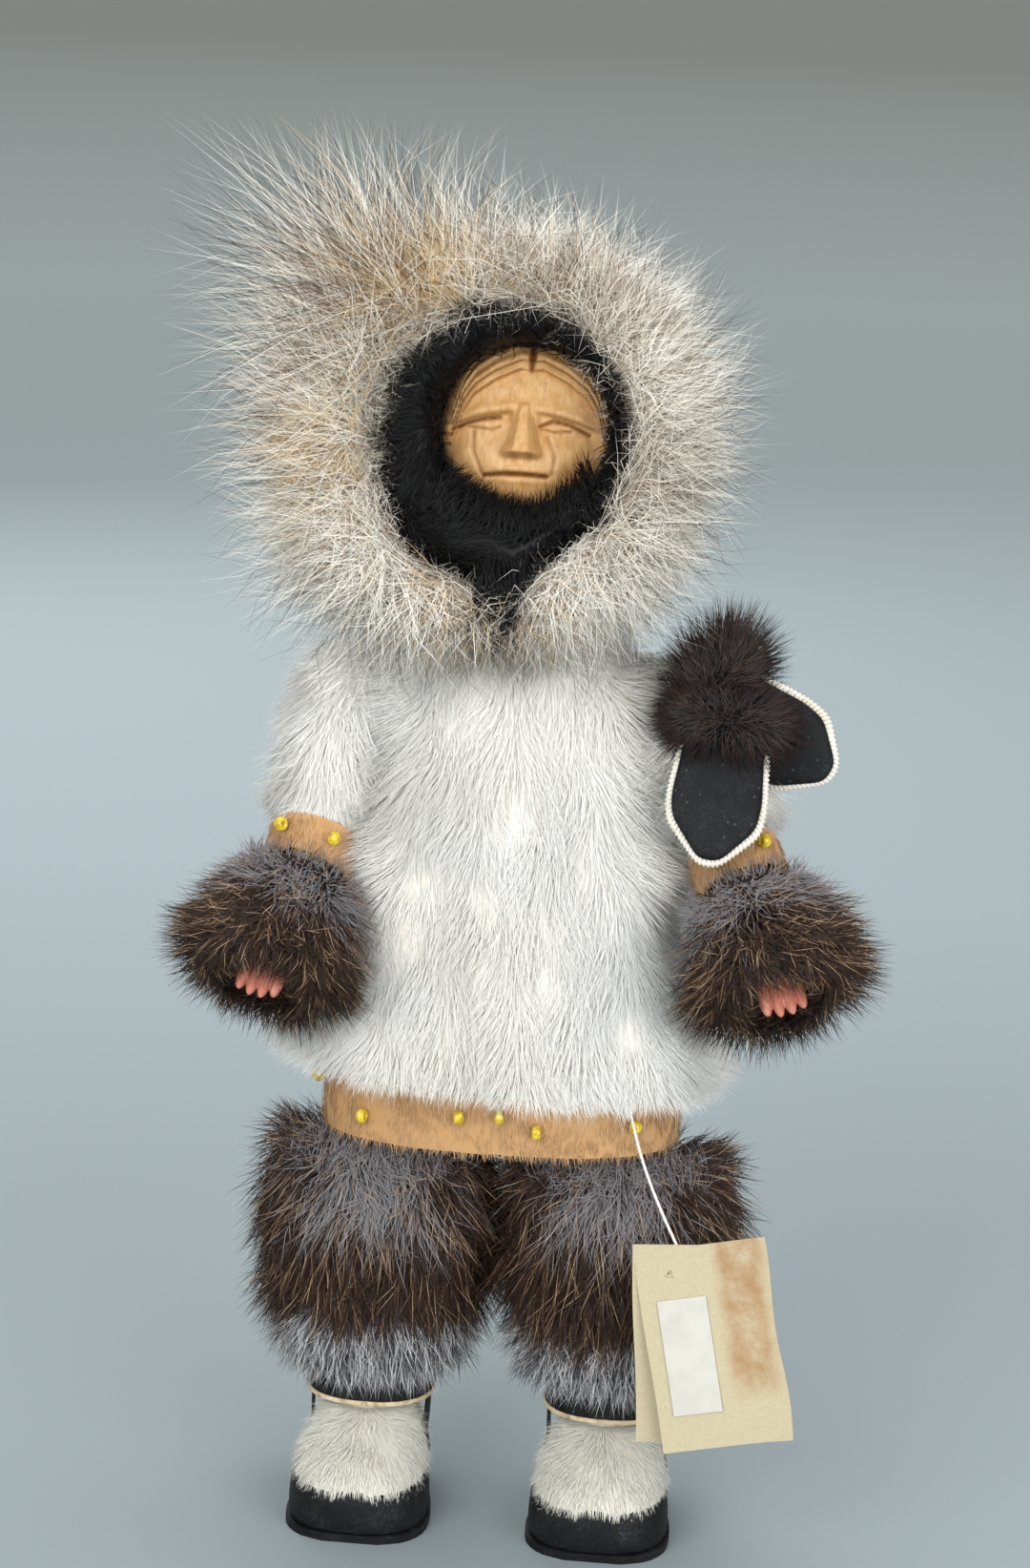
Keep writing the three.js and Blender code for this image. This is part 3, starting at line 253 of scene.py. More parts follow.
def surface(points, loop=True, ring=False):
    """A grid of rings as a surface: its outward side and its directions along and round."""
    middle = points.mean(axis=1, keepdims=True)
    if ring:
        along = np.roll(points, -1, 0) - np.roll(points, 1, 0)
    else:
        along = np.gradient(points, axis=0)
    if loop:
        turn = np.roll(points, -1, 1) - np.roll(points, 1, 1)
    else:
        turn = np.gradient(points, axis=1)
    out = unit(np.cross(turn, along))
    inside = np.sum(out * (points - middle)) < 0
    if inside:
        out = -out
    return {"points": points, "out": out, "down": unit(along), "round": unit(turn),
            "loop": loop, "ring": ring, "flip": inside}


def swell(grid, height, size, seed):
    """The soft rise and fall of a pelt's locks, added to its surface."""
    p = grid["points"]
    rise = wander(p.reshape(-1, 3), size, seed)[:, 0].reshape(p.shape[:2])
    return surface(p + grid["out"] * height * rise[..., None], grid["loop"], grid["ring"])


def cells(grid):
    """Rows and columns of each cell's two opposite corners."""
    rows, columns = grid["points"].shape[:2]
    i = np.arange(rows if grid["ring"] else rows - 1)
    j = np.arange(columns if grid["loop"] else columns - 1)
    i, j = (x.ravel() for x in np.meshgrid(i, j, indexing="ij"))
    return i, j, (i + 1) % rows, (j + 1) % columns


def node_tree(node):
    """A CAD node's surface, in millimetres, to be searched."""
    mesh = frame["nodes"][node].data
    faces = [tuple(p.vertices) for p in mesh.polygons]
    return BVHTree.FromPolygons([v.co / MM for v in mesh.vertices], faces)


def rings_on(node, middles, across, over, sides=56, soften=8, far=150):
    """Rings round a line, laid on the outside of a CAD node and smoothed over its facets."""
    tree = node_tree(node)
    turn = np.linspace(0, FULL_TURN, sides, endpoint=False)
    reach = np.full((len(middles), sides), np.nan)
    for i, middle in enumerate(middles):
        for j, a in enumerate(turn):
            way = across[i] * math.cos(a) + over[i] * math.sin(a)
            hit = tree.ray_cast(Vector(middle + way * far), Vector(-way), far)
            if hit[0] is not None:
                reach[i, j] = far - hit[3]
        known = ~np.isnan(reach[i])
        reach[i] = np.interp(turn, turn[known], reach[i][known], period=FULL_TURN)
    for _ in range(soften):
        reach = (np.roll(reach, 1, 1) + 2 * reach + np.roll(reach, -1, 1)) / 4
    ways = across[:, None] * np.cos(turn)[:, None] + over[:, None] * np.sin(turn)[:, None]
    return middles[:, None] + ways * reach[..., None]


def level_rings(node, heights, x=0.0, y=0.0, slant=None, sides=56, soften=8):
    """Rings on a CAD node at the given heights, round a place on the doll."""
    heights = np.array(heights, float)
    middles = DOLL + np.stack([np.full_like(heights, x), np.full_like(heights, y), heights], 1)
    across = np.tile([1.0, 0, 0], (len(heights), 1))
    if slant is not None:
        across[:, 2] = -slant
    return rings_on(node, middles, across, np.tile([0.0, 1, 0], (len(heights), 1)), sides, soften)


def arm_line(side, start, end, count):
    """Middles and cross directions of an arm between two distances from its shoulder cap."""
    mirror = [SIDES[side], 1, 1]
    line, length = route(np.array(ARM_ROUTES[side]) * mirror, 400)
    far = np.linspace(0, length, len(line))
    at = np.linspace(start, end, count)
    middles = np.stack([np.interp(at, far, line[:, k]) for k in range(3)], 1) + (DOLL + SHOULDER * mirror)
    along = np.gradient(line, axis=0)
    along = unit(np.stack([np.interp(at, far, along[:, k]) for k in range(3)], 1))
    across = unit(np.array([1.0, 0, 0]) - along * along[:, :1])
    return middles, across, np.cross(along, across)


def head_place(points):
    """Points of the tilted head's own frame, in millimetres, in the doll's frame."""
    x, y, z = np.moveaxis(np.asarray(points, float), -1, 0)
    c, s = math.cos(HEAD_TILT), math.sin(HEAD_TILT)
    return np.stack([x, y * c - z * s, y * s + z * c], -1) + HEAD


# Pelts


def plant(grid, count, chance, weight=None):
    """Hair roots spread over a grid by area, each with its place, outward side and directions.

    row is the share down the grid, angle the same as part of a full turn, cos and sin the turn round it.
    """
    i, j, i2, j2 = cells(grid)
    rows, columns = grid["points"].shape[:2]

    def spot(name, s, t, pick=slice(None)):
        v = grid[name]
        a, b = v[i[pick], j[pick]], v[i[pick], j2[pick]]
        c, d = v[i2[pick], j[pick]], v[i2[pick], j2[pick]]
        return (a * (1 - t) + b * t) * (1 - s) + (c * (1 - t) + d * t) * s

    def roots(s, t, pick=slice(None)):
        found = {name: spot(name, s, t, pick) for name in ("points", "out", "down", "round")}
        found["place"] = found.pop("points")
        found["out"] = unit(found["out"])
        found["row"] = (i[pick] + np.ravel(s)) / (rows if grid["ring"] else rows - 1)
        found["angle"] = found["row"] * FULL_TURN
        turn = (j[pick] + np.ravel(t)) / columns * FULL_TURN
        found["cos"], found["sin"] = np.cos(turn), np.sin(turn)
        return found

    half = np.full((len(i), 1), 0.5)
    p = grid["points"]
    area = np.linalg.norm(np.cross(p[i2, j2] - p[i, j], p[i2, j] - p[i, j2]), axis=1) / 2
    if weight is not None:
        area = area * np.maximum(weight(roots(half, half)), 0)
    total = np.cumsum(area)
    pick = np.searchsorted(total, (np.arange(count) + chance.random(count)) / count * total[-1])
    pick = np.minimum(pick, len(i) - 1)
    return roots(chance.random((count, 1)), chance.random((count, 1)), pick)


def asked(setting, roots):
    """A coat's setting, the same for all roots or worked out for each."""
    return setting(roots) if callable(setting) else setting


def coat(grid, count, seed, length, width=0.6, lift=(0.7, 0.15), sway=0.35, patch=22.0, spread=0.2,
         clump=0.4, tuft=4.0, wave=0.0, flow=None, shade=None, weight=None, rings=2, soft=0.6, sink=3.0,
         vary=(0.72, 1.12), few=1.0, keep=None):
    """Closed tapering hairs on a grid. Each takes its shade across the colour map and its length up it.

    lift: how far hair stands out at root and tip; sway, patch: how far and over what size its lie changes;
    spread: chance in its lie; clump, tuft: pull to the nearest of every so many roots; wave: curl of the
    tip; soft: share of the skin's normal; sink: depth of the root; vary, few: shares of length and how rare
    long ones are; keep: share of length left by where the tip is.
    """
    chance = np.random.default_rng(seed)
    roots = plant(grid, count, chance, weight)
    out = roots["out"]
    drift = wander(roots["place"], patch, seed)
    drift = drift / np.maximum(1.0, np.linalg.norm(drift, axis=1, keepdims=True))
    way = unit((roots["down"] if flow is None else flow(roots)) + sway * drift)
    loose = spread * chance.normal(size=(count, 3))
    rise = asked(lift, roots)
    first = unit(rise[0] * out + way + 0.5 * loose)
    last = unit(rise[1] * out + way + loose)
    long = asked(length, roots) * (vary[0] + (vary[1] - vary[0]) * chance.random(count) ** few)
    start = roots["place"] - out * np.reshape(asked(sink, roots), (-1, 1))
    heads = start[chance.choice(count, max(1, int(count / max(tuft, 1.01))), replace=False)]
    tree = KDTree(len(heads))
    for k, head in enumerate(heads):
        tree.insert(head, k)
    tree.balance()
    pull = np.array([tree.find(p)[0] for p in start]) - start
    side = unit(np.cross(last, out) + 1e-6)
    over = np.cross(side, last)
    phase = chance.uniform(0, FULL_TURN, (count, 2))
    pinch = clump * chance.uniform(0.4, 1.2, (count, 1))
    tone = shade(roots, chance.random(count), chance.random(count)) if shade else chance.random(count)
    tone = np.clip(tone, 0.01, 0.99)

    def spine(t):
        p = start + long[:, None] * (first * (t - t * t / 2) + last * t * t / 2)
        p = p + pinch * t**1.4 * pull
        curl = wave * t * np.sin(5.0 * t + phase)
        return p + side * curl[:, :1] + over * curl[:, 1:]

    if keep:
        long = long * keep(spine(1.0))
    span = spine(1.0) - start
    free = np.where(span > 0, ROOM_HIGH, ROOM_LOW) - start
    free = free / np.where(np.abs(span) < 1e-6, 1e-6, span)
    long = long * np.clip(free.min(1), 0.2, 1)
    steps = np.linspace(0, 1, rings + 1)
    points, sense, place = [], [], []
    for k, t in enumerate(steps):
        here = spine(t)
        ahead = unit(spine(min(1.0, t + 0.02)) - spine(max(0.0, t - 0.02)))
        b = unit(np.cross(ahead, out) + 1e-6)
        c = np.cross(ahead, b)
        if k == rings:
            points.append(here[:, None])
            sense.append(unit((1 - soft) * ahead + soft * out)[:, None])
            place.append(np.stack([tone, np.full(count, 0.99)], 1)[:, None])
            continue
        radius = width / 2 * (1 - 0.72 * t) * (0.8 if k == 0 else 1)
        for n, half_turns in enumerate((0.5, 0.5 + 2 / 3, 0.5 + 4 / 3)):
            ray = b * math.cos(half_turns * math.pi) + c * math.sin(half_turns * math.pi)
            points.append((here + radius * ray)[:, None])
            sense.append(unit((1 - soft) * ray + soft * out)[:, None])
            # Corners lie a little apart on the colour map, so that each face has some area there
            u = np.clip(tone + (n - 1) * 0.008, 0.002, 0.998)
            v = np.full(count, t + (0.012 if k == 0 and n == 1 else 0.002))
            place.append(np.stack([u, v], 1)[:, None])
    per = 3 * rings + 1
    faces = [(0, 2, 1)]
    for k in range(rings - 1):
        for n in range(3):
            a, b = 3 * k + n, 3 * k + (n + 1) % 3
            faces += [(a, b, b + 3), (a, b + 3, a + 3)]
    last_ring = 3 * (rings - 1)
    faces += [(last_ring + n, last_ring + (n + 1) % 3, per - 1) for n in range(3)]
    faces = np.array(faces)[None] + (np.arange(count) * per)[:, None, None]
    join = [np.concatenate(x, 1).reshape(count * per, -1) for x in (points, sense, place)]
    return join[0], faces.reshape(-1, 3), join[2], join[1]


def hide(grid, inset, thickness=None, caps=(False, False), tone=(0.3, 0.7)):
    """The skin under the hair: a closed wall, or a closed body where there is no thickness."""
    p, out = grid["points"], grid["out"]
    rows, columns = p.shape[:2]
    depth = np.broadcast_to(np.asarray(inset, float), (rows, columns))[..., None]
    walls = [(p - out * depth, out, grid["flip"])]
    if thickness:
        walls.append((p - out * (depth + thickness), -out, not grid["flip"]))
    i, j, i2, j2 = cells(grid)
    points, faces, place, sense = [], [], [], []
    total = 0
    bounce = np.abs(np.linspace(-1, 1, columns))
    for wall, normal, flip in walls:
        a, b, c, d = i * columns + j, i * columns + j2, i2 * columns + j2, i2 * columns + j
        quads = np.stack([a, b, c, d] if not flip else [a, d, c, b], 1) + total
        faces += [quads[:, [0, 1, 2]], quads[:, [0, 2, 3]]]
        points.append(wall.reshape(-1, 3))
        sense.append(normal.reshape(-1, 3))
        uv = np.zeros((rows, columns, 2))
        uv[..., 0] = tone[0] + (tone[1] - tone[0]) * bounce
        uv[..., 1] = 0.004 + 0.03 * (np.arange(rows) % 2)[:, None]
        place.append(uv.reshape(-1, 2))
        total += rows * columns
        for end, row in enumerate((0, rows - 1)):
            if grid["ring"] or not grid["loop"] or not caps[end]:
                continue
            points.append(wall[row].mean(0)[None])
            away = wall[row].mean(0) - wall[rows // 2].mean(0)
            sense.append(unit(normal[row].mean(0) + away * 0.01)[None])
            place.append(np.array([[0.5, 0.05]]))
            k = np.arange(columns)
            pair = [row * columns + k, row * columns + (k + 1) % columns]
            if (end == 0) != flip:
                pair = pair[::-1]
            base = total - rows * columns
            faces.append(np.stack([pair[0] + base, pair[1] + base, np.full(columns, total)], 1))
            total += 1
    if thickness and not grid["ring"]:
        extra = sum(1 for c in caps if c and grid["loop"])
        gap = rows * columns + extra
        for end, row in enumerate((0, rows - 1)):
            if caps[end] and grid["loop"]:
                continue
            k = np.arange(columns if grid["loop"] else columns - 1)
            a, b = row * columns + k, row * columns + (k + 1) % columns
            quads = np.stack([b, a, a + gap, b + gap], 1)
            if (end == 1) != grid["flip"]:
                quads = quads[:, ::-1]
            faces += [quads[:, [0, 1, 2]], quads[:, [0, 2, 3]]]
        if not grid["loop"]:
            k = np.arange(rows - 1)
            for column, swapped in ((0, False), (columns - 1, True)):
                a, b = k * columns + column, (k + 1) * columns + column
                quads = np.stack([a, b, b + gap, a + gap], 1)
                if swapped != grid["flip"]:
                    quads = quads[:, ::-1]
                faces += [quads[:, [0, 1, 2]], quads[:, [0, 2, 3]]]
    return np.vstack(points), np.vstack(faces), np.vstack(place), np.vstack(sense)


def pelt(name, parts, material, body, nodes=()):
    """One piece of fur: its skin and hairs as a single mesh with a colour map and soft normals."""
    points, faces, place, sense, total = [], [], [], [], 0
    for p, f, uv, n in parts:
        points.append(p)
        faces.append(f + total)
        place.append(uv)
        sense.append(n)
        total += len(p)
    points, faces = np.vstack(points) * MM, np.vstack(faces)
    mesh = bpy.data.meshes.new(name)
    mesh.vertices.add(len(points))
    mesh.vertices.foreach_set("co", points.astype(np.float32).ravel())
    mesh.loops.add(faces.size)
    mesh.loops.foreach_set("vertex_index", faces.astype(np.int32).ravel())
    mesh.polygons.add(len(faces))
    mesh.polygons.foreach_set("loop_start", np.arange(0, faces.size, 3, dtype=np.int32))
    uv = mesh.uv_layers.new(name=UV_NAME)
    uv.data.foreach_set("uv", np.vstack(place)[faces.ravel()].astype(np.float32).ravel())
    normal = mesh.attributes.new("custom_normal", "FLOAT_VECTOR", "POINT")
    normal.data.foreach_set("vector", np.vstack(sense).astype(np.float32).ravel())
    mesh.update()
    mesh.materials.append(material)
    made = bpy.data.objects.new(name, mesh)
    bpy.context.collection.objects.link(made)
    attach(made, body)
    if nodes:
        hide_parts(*nodes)


# Materials


def add(tree, kind, inputs=None, stops=None, **settings):
    """A node with its settings, its ramp's colour stops and its inputs, as values or links."""
    made = tree.nodes.new(kind)
    for name, value in settings.items():
        setattr(made, name, value)
    if stops:
        colours = made.color_ramp
        while len(colours.elements) < len(stops):
            colours.elements.new(0.5)
        for element, (place, code) in zip(colours.elements, stops):
            element.position = place
            element.color = linear(code) if isinstance(code, str) else code
    for name, value in (inputs or {}).items():
        if isinstance(value, bpy.types.NodeSocket):
            tree.links.new(value, made.inputs[name])
        else:
            made.inputs[name].default_value = value
    return made


def finish(name):
    """Turns a function that fills a node tree into a material, made once under that name."""

    def wrap(build):
        def material():
            made = bpy.data.materials.get(name)
            if not made:
                made = bpy.data.materials.new(name)
                made.use_nodes = True
                made.node_tree.nodes.clear()
                build(made.node_tree)
            return made

        return material

    return wrap


def object_space(tree):
    return add(tree, "ShaderNodeTexCoord").outputs["Object"]


def noise(tree, place, scale, detail, **more):
    inputs = {"Vector": place, "Scale": scale, "Detail": detail, **more}
    return add(tree, "ShaderNodeTexNoise", inputs).outputs["Fac"]


def dots(tree, place, scale):
    return add(tree, "ShaderNodeTexVoronoi", {"Vector": place, "Scale": scale}).outputs["Distance"]


def stripes(tree, place, scale, way, distortion=0.0):
    inputs = {"Vector": place, "Scale": scale, "Distortion": distortion}
    return add(tree, "ShaderNodeTexWave", inputs, bands_direction=way).outputs["Fac"]


def ramp(tree, share, stops):
    return add(tree, "ShaderNodeValToRGB", {"Fac": share}, stops).outputs["Color"]


def blend(tree, share, low, high):
    return add(tree, "ShaderNodeMix", {0: share, 6: low, 7: high}, data_type="RGBA").outputs[2]


def remap(tree, value, start, end, low=0.0, high=1.0, smooth=False):
    inputs = {"Value": value, "From Min": start, "From Max": end, "To Min": low, "To Max": high}
    kind = "SMOOTHSTEP" if smooth else "LINEAR"
    return add(tree, "ShaderNodeMapRange", inputs, interpolation_type=kind).outputs["Result"]


def maths(tree, operation, a, b):
    return add(tree, "ShaderNodeMath", {0: a, 1: b}, operation=operation).outputs["Value"]


def bump(tree, strength, height, distance=0.0003):
    inputs = {"Strength": strength, "Distance": distance, "Height": height}
    return add(tree, "ShaderNodeBump", inputs).outputs["Normal"]


def shine(tree, tint, roughness, normal=None, more=None):
    """Ends a material with its shader."""
    inputs = {"Base Color": tint, "Roughness": roughness, **(more or {})}
    if normal is not None:
        inputs["Normal"] = normal
    shader = add(tree, "ShaderNodeBsdfPrincipled", inputs)
    add(tree, "ShaderNodeOutputMaterial", {"Surface": shader.outputs["BSDF"]})


def hair(tree, under, tips, change, roughness, gloss, sheen=0.0):
    """Matt underfur that turns to the tip's colour up its length, each hair of its own shade."""
    place = add(tree, "ShaderNodeUVMap", uv_map=UV_NAME).outputs["UV"]
    split = add(tree, "ShaderNodeSeparateXYZ", {"Vector": place}).outputs
    low, high = ramp(tree, split["X"], under), ramp(tree, split["X"], tips)
    tint = blend(tree, remap(tree, split["Y"], *change, smooth=True), low, high)
    shine(tree, tint, roughness, None, {
        "Specular IOR Level": gloss, "Sheen Weight": sheen, "Sheen Roughness": 0.4})


@finish("rabbit_fur_white")
def white_rabbit(tree):
    # Rabbit: dense, fine and nearly white, with cream in the depth between locks
    under = [(0, "#dccfb8"), (0.35, "#ede6d8"), (0.7, "#f6f4ec"), (1, "#f9f8f1")]
    tips = [(0, "#e3d9c5"), (0.35, "#f3eee2"), (0.7, "#faf9f3"), (1, "#fcfbf6")]
    hair(tree, under, tips, (0.05, 0.6), 0.85, 0.1, 0.35)


@finish("hide_hair_white")
def white_calf(tree):
    # Hide with short straight hair: white, greyer in the depth, and greyed overall as painted shade from the
    # legs above
    under = [(0, "#bdbaac"), (0.5, "#d4d2c6"), (1, "#e3e1d6")]
    tips = [(0, "#cdcbbd"), (0.5, "#e4e3d8"), (1, "#f3f2ea")]
    hair(tree, under, tips, (0.05, 0.7), 0.75, 0.15)


@finish("coyote_fur")
def ruff_fur(tree):
    # Coyote: woolly cream underfur, guard hairs banded from grey and tan to white, some dark tipped
    under = [
        (0, "#7d6b59"), (0.2, "#c29a66"), (0.36, "#cdb893"), (0.5, "#a0978a"), (0.65, "#bfb6a4"),
        (0.8, "#d2cab9"), (1, "#ded7c8"),
    ]
    tips = [
        (0, "#231e1b"), (0.12, "#3a322d"), (0.2, "#cfa773"), (0.36, "#dac59c"), (0.5, "#aea79b"),
        (0.65, "#cdc5b5"), (0.8, "#e8e1d2"), (1, "#f7f4ec"),
    ]
    hair(tree, under, tips, (0.2, 0.7), 0.65, 0.25)


@finish("dyed_fur_black")
def black_fur(tree):
    # Dyed fur: near black, with a faint cool gleam along the hairs
    tips = [(0, "#050506"), (0.6, "#09090a"), (1, "#18181b")]
    hair(tree, [(0, "#070708"), (1, "#0c0c0e")], tips, (0.2, 0.9), 0.5, 0.25)


@finish("muskrat_fur")
def brown_fur(tree):
    # Muskrat: blue-grey underfur, dark brown hairs and golden guard hairs
    under = [
        (0, "#878588"), (0.22, "#777375"), (0.3, "#514744"), (0.5, "#2d2019"), (0.85, "#3a2a20"),
        (1, "#74573f"),
    ]
    tips = [
        (0, "#949193"), (0.22, "#7f797a"), (0.3, "#44332a"), (0.5, "#271a13"), (0.8, "#442d20"),
        (0.88, "#9b7550"), (1, "#d6bc94"),
    ]
    hair(tree, under, tips, (0.3, 0.85), 0.6, 0.3)


@finish("frosted_fur_grey")
def grey_fur(tree):
    # Seal-grey pelt: dark grey depth and hairs with frosted white tips
    under = [(0, "#3f3f42"), (0.4, "#58585c"), (0.6, "#737377"), (1, "#8c8c90")]
    tips = [(0, "#5d5d61"), (0.4, "#8b8b8f"), (0.6, "#c9c9cb"), (1, "#f2f2f2")]
    hair(tree, under, tips, (0.25, 0.8), 0.6, 0.3)


@finish("mink_fur_dark")
def mink_fur(tree):
    # Mink: nearly black guard hairs with a chestnut gleam, dense underfur
    tips = [(0, "#120d0b"), (0.6, "#221813"), (0.9, "#41291d"), (1, "#62402c")]
    hair(tree, [(0, "#231915"), (1, "#30211a")], tips, (0.2, 0.8), 0.42, 0.45)


@finish("calf_hair_tan")
def calf_hair(tree):
    # Calf hide: short glossy hair, honey tan with darker and paler streaks
    under = [(0, "#a67a4e"), (0.5, "#bd9263"), (1, "#cca374")]
    tips = [(0, "#b0855a"), (0.5, "#cba274"), (1, "#e0be94")]
    hair(tree, under, tips, (0.1, 0.8), 0.55, 0.3)


@finish("carved_birch")
def carved_wood(tree):
    # Birch, carved and waxed: warm honey with long grain, darkened as painted shade in the knife cuts, the
    # eye sockets under the brows and the nostrils
    place = object_space(tree)
    along = add(tree, "ShaderNodeMapping", {"Vector": place, "Scale": (1.0, 1.0, 0.12)}).outputs["Vector"]
    grain = noise(tree, along, 900.0, 4.0, Roughness=0.6, Distortion=0.4)
    broad = noise(tree, place, 110.0, 2.0)
    streak = ramp(tree, grain, [(0.3, "#a8763e"), (0.5, colour("wood")), (0.7, "#cda56f")])
    patch = ramp(tree, broad, [(0.35, "#b6844a"), (0.7, "#d2ae7d")])
    # The cut mark is painted shade: it darkens the wood in the knife cuts, under the brows and in the
    # nostrils
    cut = add(tree, "ShaderNodeAttribute", attribute_name="cut").outputs["Fac"]
    tint = blend(tree, remap(tree, cut, 0.0, 1.0), blend(tree, 0.4, streak, patch), linear("#744823"))
    knife = maths(tree, "ADD", dots(tree, place, 320.0), grain)
    rough = remap(tree, broad, 0.0, 1.0, 0.36, 0.52)
    shine(tree, tint, rough, bump(tree, 0.14, knife, 0.0004), {"Specular IOR Level": 0.45})


def suede(tree, pored):
    """Dyed split hide, with or without its pores."""
    place = object_space(tree)
    nap = noise(tree, place, 1400.0, 3.0, Roughness=0.7)
    scuff_and_sheen = noise(tree, place, 120.0, 4.0, Roughness=0.65)
    # The lightest blue-grey stops are partly scuffs and partly painted sheen
    tint = ramp(tree, maths(tree, "MULTIPLY", nap, scuff_and_sheen), [
        (0.12, "#0b0c0d"), (0.25, colour("leather")), (0.36, "#222527"), (0.46, "#383c40")])
    if pored:
        pores = remap(tree, dots(tree, place, 385.0), 0.16, 0.08, 0.0, 0.55)
        tint = blend(tree, pores, tint, linear("#54575a"))
    rough = remap(tree, scuff_and_sheen, 0.0, 1.0, 0.45, 0.75)
    shine(tree, tint, rough, bump(tree, 0.35, nap), {"Specular IOR Level": 0.22})


@finish("dyed_leather_black")
def black_leather(tree):
    # Suede-split cowhide, dyed: matt charcoal with a fine nap, lightened to blue-grey in patches by scuffs
    # and by painted sheen
    suede(tree, False)


@finish("pored_leather_black")
def palm_leather(tree):
    # The same cowhide with the pale pin dots of its hair pores, 2.6 mm apart
    suede(tree, True)


@finish("tawed_leather_white")
def white_leather(tree):
    # Tawed skin: chalky off-white with a soft grain and a little soiling
    place = object_space(tree)
    grain, soil = noise(tree, place, 900.0, 3.0), noise(tree, place, 90.0, 3.0)
    tint = ramp(tree, soil, [(0.3, "#d5cdbd"), (0.5, "#e6e1d6"), (0.7, "#efece4")])
    shine(tree, tint, 0.75, bump(tree, 0.3, grain))


@finish("cotton_cloth")
def cotton(tree):
    # Unbleached cotton: plain weave of 0.6 mm threads, drawn that coarse so that it shows
    place = object_space(tree)
    weave = maths(tree, "MAXIMUM", *(stripes(tree, place, 520.0, way, 0.6) for way in "XZ"))
    tint = ramp(tree, weave, [(0.2, "#c9c0ac"), (0.9, "#e2dccd")])
    shine(tree, tint, 0.85, bump(tree, 0.3, weave))


@finish("bead_glass_amber")
def bead_glass(tree):
    # Pressed glass: clear amber yellow with bright glints
    swirl = noise(tree, object_space(tree), 700.0, 1.0)
    tint = ramp(tree, swirl, [(0.3, "#c7a306"), (0.5, colour("bead")), (0.7, "#f7e765")])
    shine(tree, tint, 0.1, None, {
        "IOR": 1.52, "Transmission Weight": 0.15, "Coat Weight": 0.5, "Coat Roughness": 0.05})


@finish("moulded_vinyl_pink")
def moulded_skin(tree):
    # Moulded vinyl: soft pink, a little translucent, mottled lighter and darker
    mottle = noise(tree, object_space(tree), 260.0, 3.0)
    tint = ramp(tree, mottle, [(0.3, "#b96d5a"), (0.55, colour("skin")), (0.75, "#dc9a86")])
    shine(tree, tint, 0.45, bump(tree, 0.1, mottle), {
        "Subsurface Weight": 0.1, "Subsurface Radius": (0.004, 0.0015, 0.001), "Subsurface Scale": 0.5})


@finish("tag_card_cream")
def tag_card(tree):
    # Uncoated card: cream with flecks, browned in a mottled patch on its right and paler at the cut edges
    sheet = add(tree, "ShaderNodeUVMap", uv_map="sheet").outputs["UV"]
    split = add(tree, "ShaderNodeSeparateXYZ", {"Vector": sheet}).outputs
    place = object_space(tree)
    fleck = noise(tree, place, 1300.0, 3.0)
    cloud = noise(tree, place, 170.0, 5.0, Roughness=0.7)
    stain = remap(tree, split["X"], 0.54, 0.68, smooth=True)
    for limit in (
        remap(tree, split["X"], 0.9, 0.99, 1.0, 0.25, smooth=True),
        remap(tree, split["Y"], 0.18, 0.34, smooth=True),
        remap(tree, cloud, 0.22, 0.62),
    ):
        stain = maths(tree, "MULTIPLY", stain, limit)
    base = ramp(tree, fleck, [(0.3, "#b4a98a"), (0.6, colour("card"))])
    shine(tree, blend(tree, stain, base, linear("#a3815a")), 0.8, bump(tree, 0.15, fleck, 0.0002))


@finish("label_paper_white")
def sticker_paper(tree):
    # Matt label paper: cool white, faintly creased
    crease = noise(tree, object_space(tree), 140.0, 4.0)
    tint = ramp(tree, crease, [(0.3, "#bab8b0"), (0.6, "#c6c4bc")])
    shine(tree, tint, 0.6, bump(tree, 0.2, crease))


@finish("cotton_thread_white")
def thread_cotton(tree):
    # Cotton thread: white, two plies that show as slanting light and shade
    ply = stripes(tree, object_space(tree), 420.0, "DIAGONAL")
    tint = ramp(tree, ply, [(0.1, "#d6d2c8"), (0.8, "#f0eee8")])
    shine(tree, tint, 0.85, bump(tree, 0.4, ply))


@finish("welt_leather_cream")
def welt_leather(tree):
    # Vegetable-tanned strip: cream to tan, mottled with dirt
    soil = noise(tree, object_space(tree), 420.0, 3.0)
    tint = ramp(tree, soil, [(0.3, "#8f7a58"), (0.5, "#c4b08c"), (0.7, "#d6c7a8")])
    shine(tree, tint, 0.7, bump(tree, 0.3, soil))


@finish("floor_paint")
def floor_paint(tree):
    # Matt painted floor: cool pale grey, evened out from the lit middle to 10 m off
    far = add(tree, "ShaderNodeVectorMath", {0: object_space(tree)}, operation="LENGTH").outputs["Value"]
    middle = list(bpy.context.scene.doll_stage.floor)
    tint = ramp(tree, remap(tree, far, 0.0, 10.0), [
        (0.03, middle), (0.07, "#94a0a5"), (0.14, "#9ca9ad"), (0.3, "#a8b4b5"), (0.76, "#929895")])
    shine(tree, tint, 0.9, None, {"Specular IOR Level": 0.1})


# Modelling by hand


def only(thing):
    """Makes one object the selected and active one."""
    bpy.ops.object.select_all(action="DESELECT")
    thing.select_set(True)
    bpy.context.view_layer.objects.active = thing


def finish_piece(thing, name, material, body, nodes, smooth):
    """Names a modelled piece, gives it its material and body, and puts its place in its mesh."""
    only(thing)
    bpy.ops.object.transform_apply(location=True, rotation=True, scale=True)
    bpy.ops.object.shade_smooth_by_angle(angle=math.radians(smooth))
    thing.name = name
    thing.data.name = name
    thing.data.materials.clear()
    thing.data.materials.append(material)
    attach(thing, body)
    if nodes:
        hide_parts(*nodes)
    bpy.ops.object.select_all(action="DESELECT")


def apply_modifier(thing, kind, **settings):
    only(thing)
    made = thing.modifiers.new(kind.title(), kind)
    for name, value in settings.items():
        setattr(made, name, value)
    bpy.ops.object.modifier_apply(modifier=made.name)


def edit_all():
    """Opens the active mesh with all of it selected."""
    bpy.ops.object.mode_set(mode="EDIT")
    bpy.ops.mesh.select_all(action="SELECT")


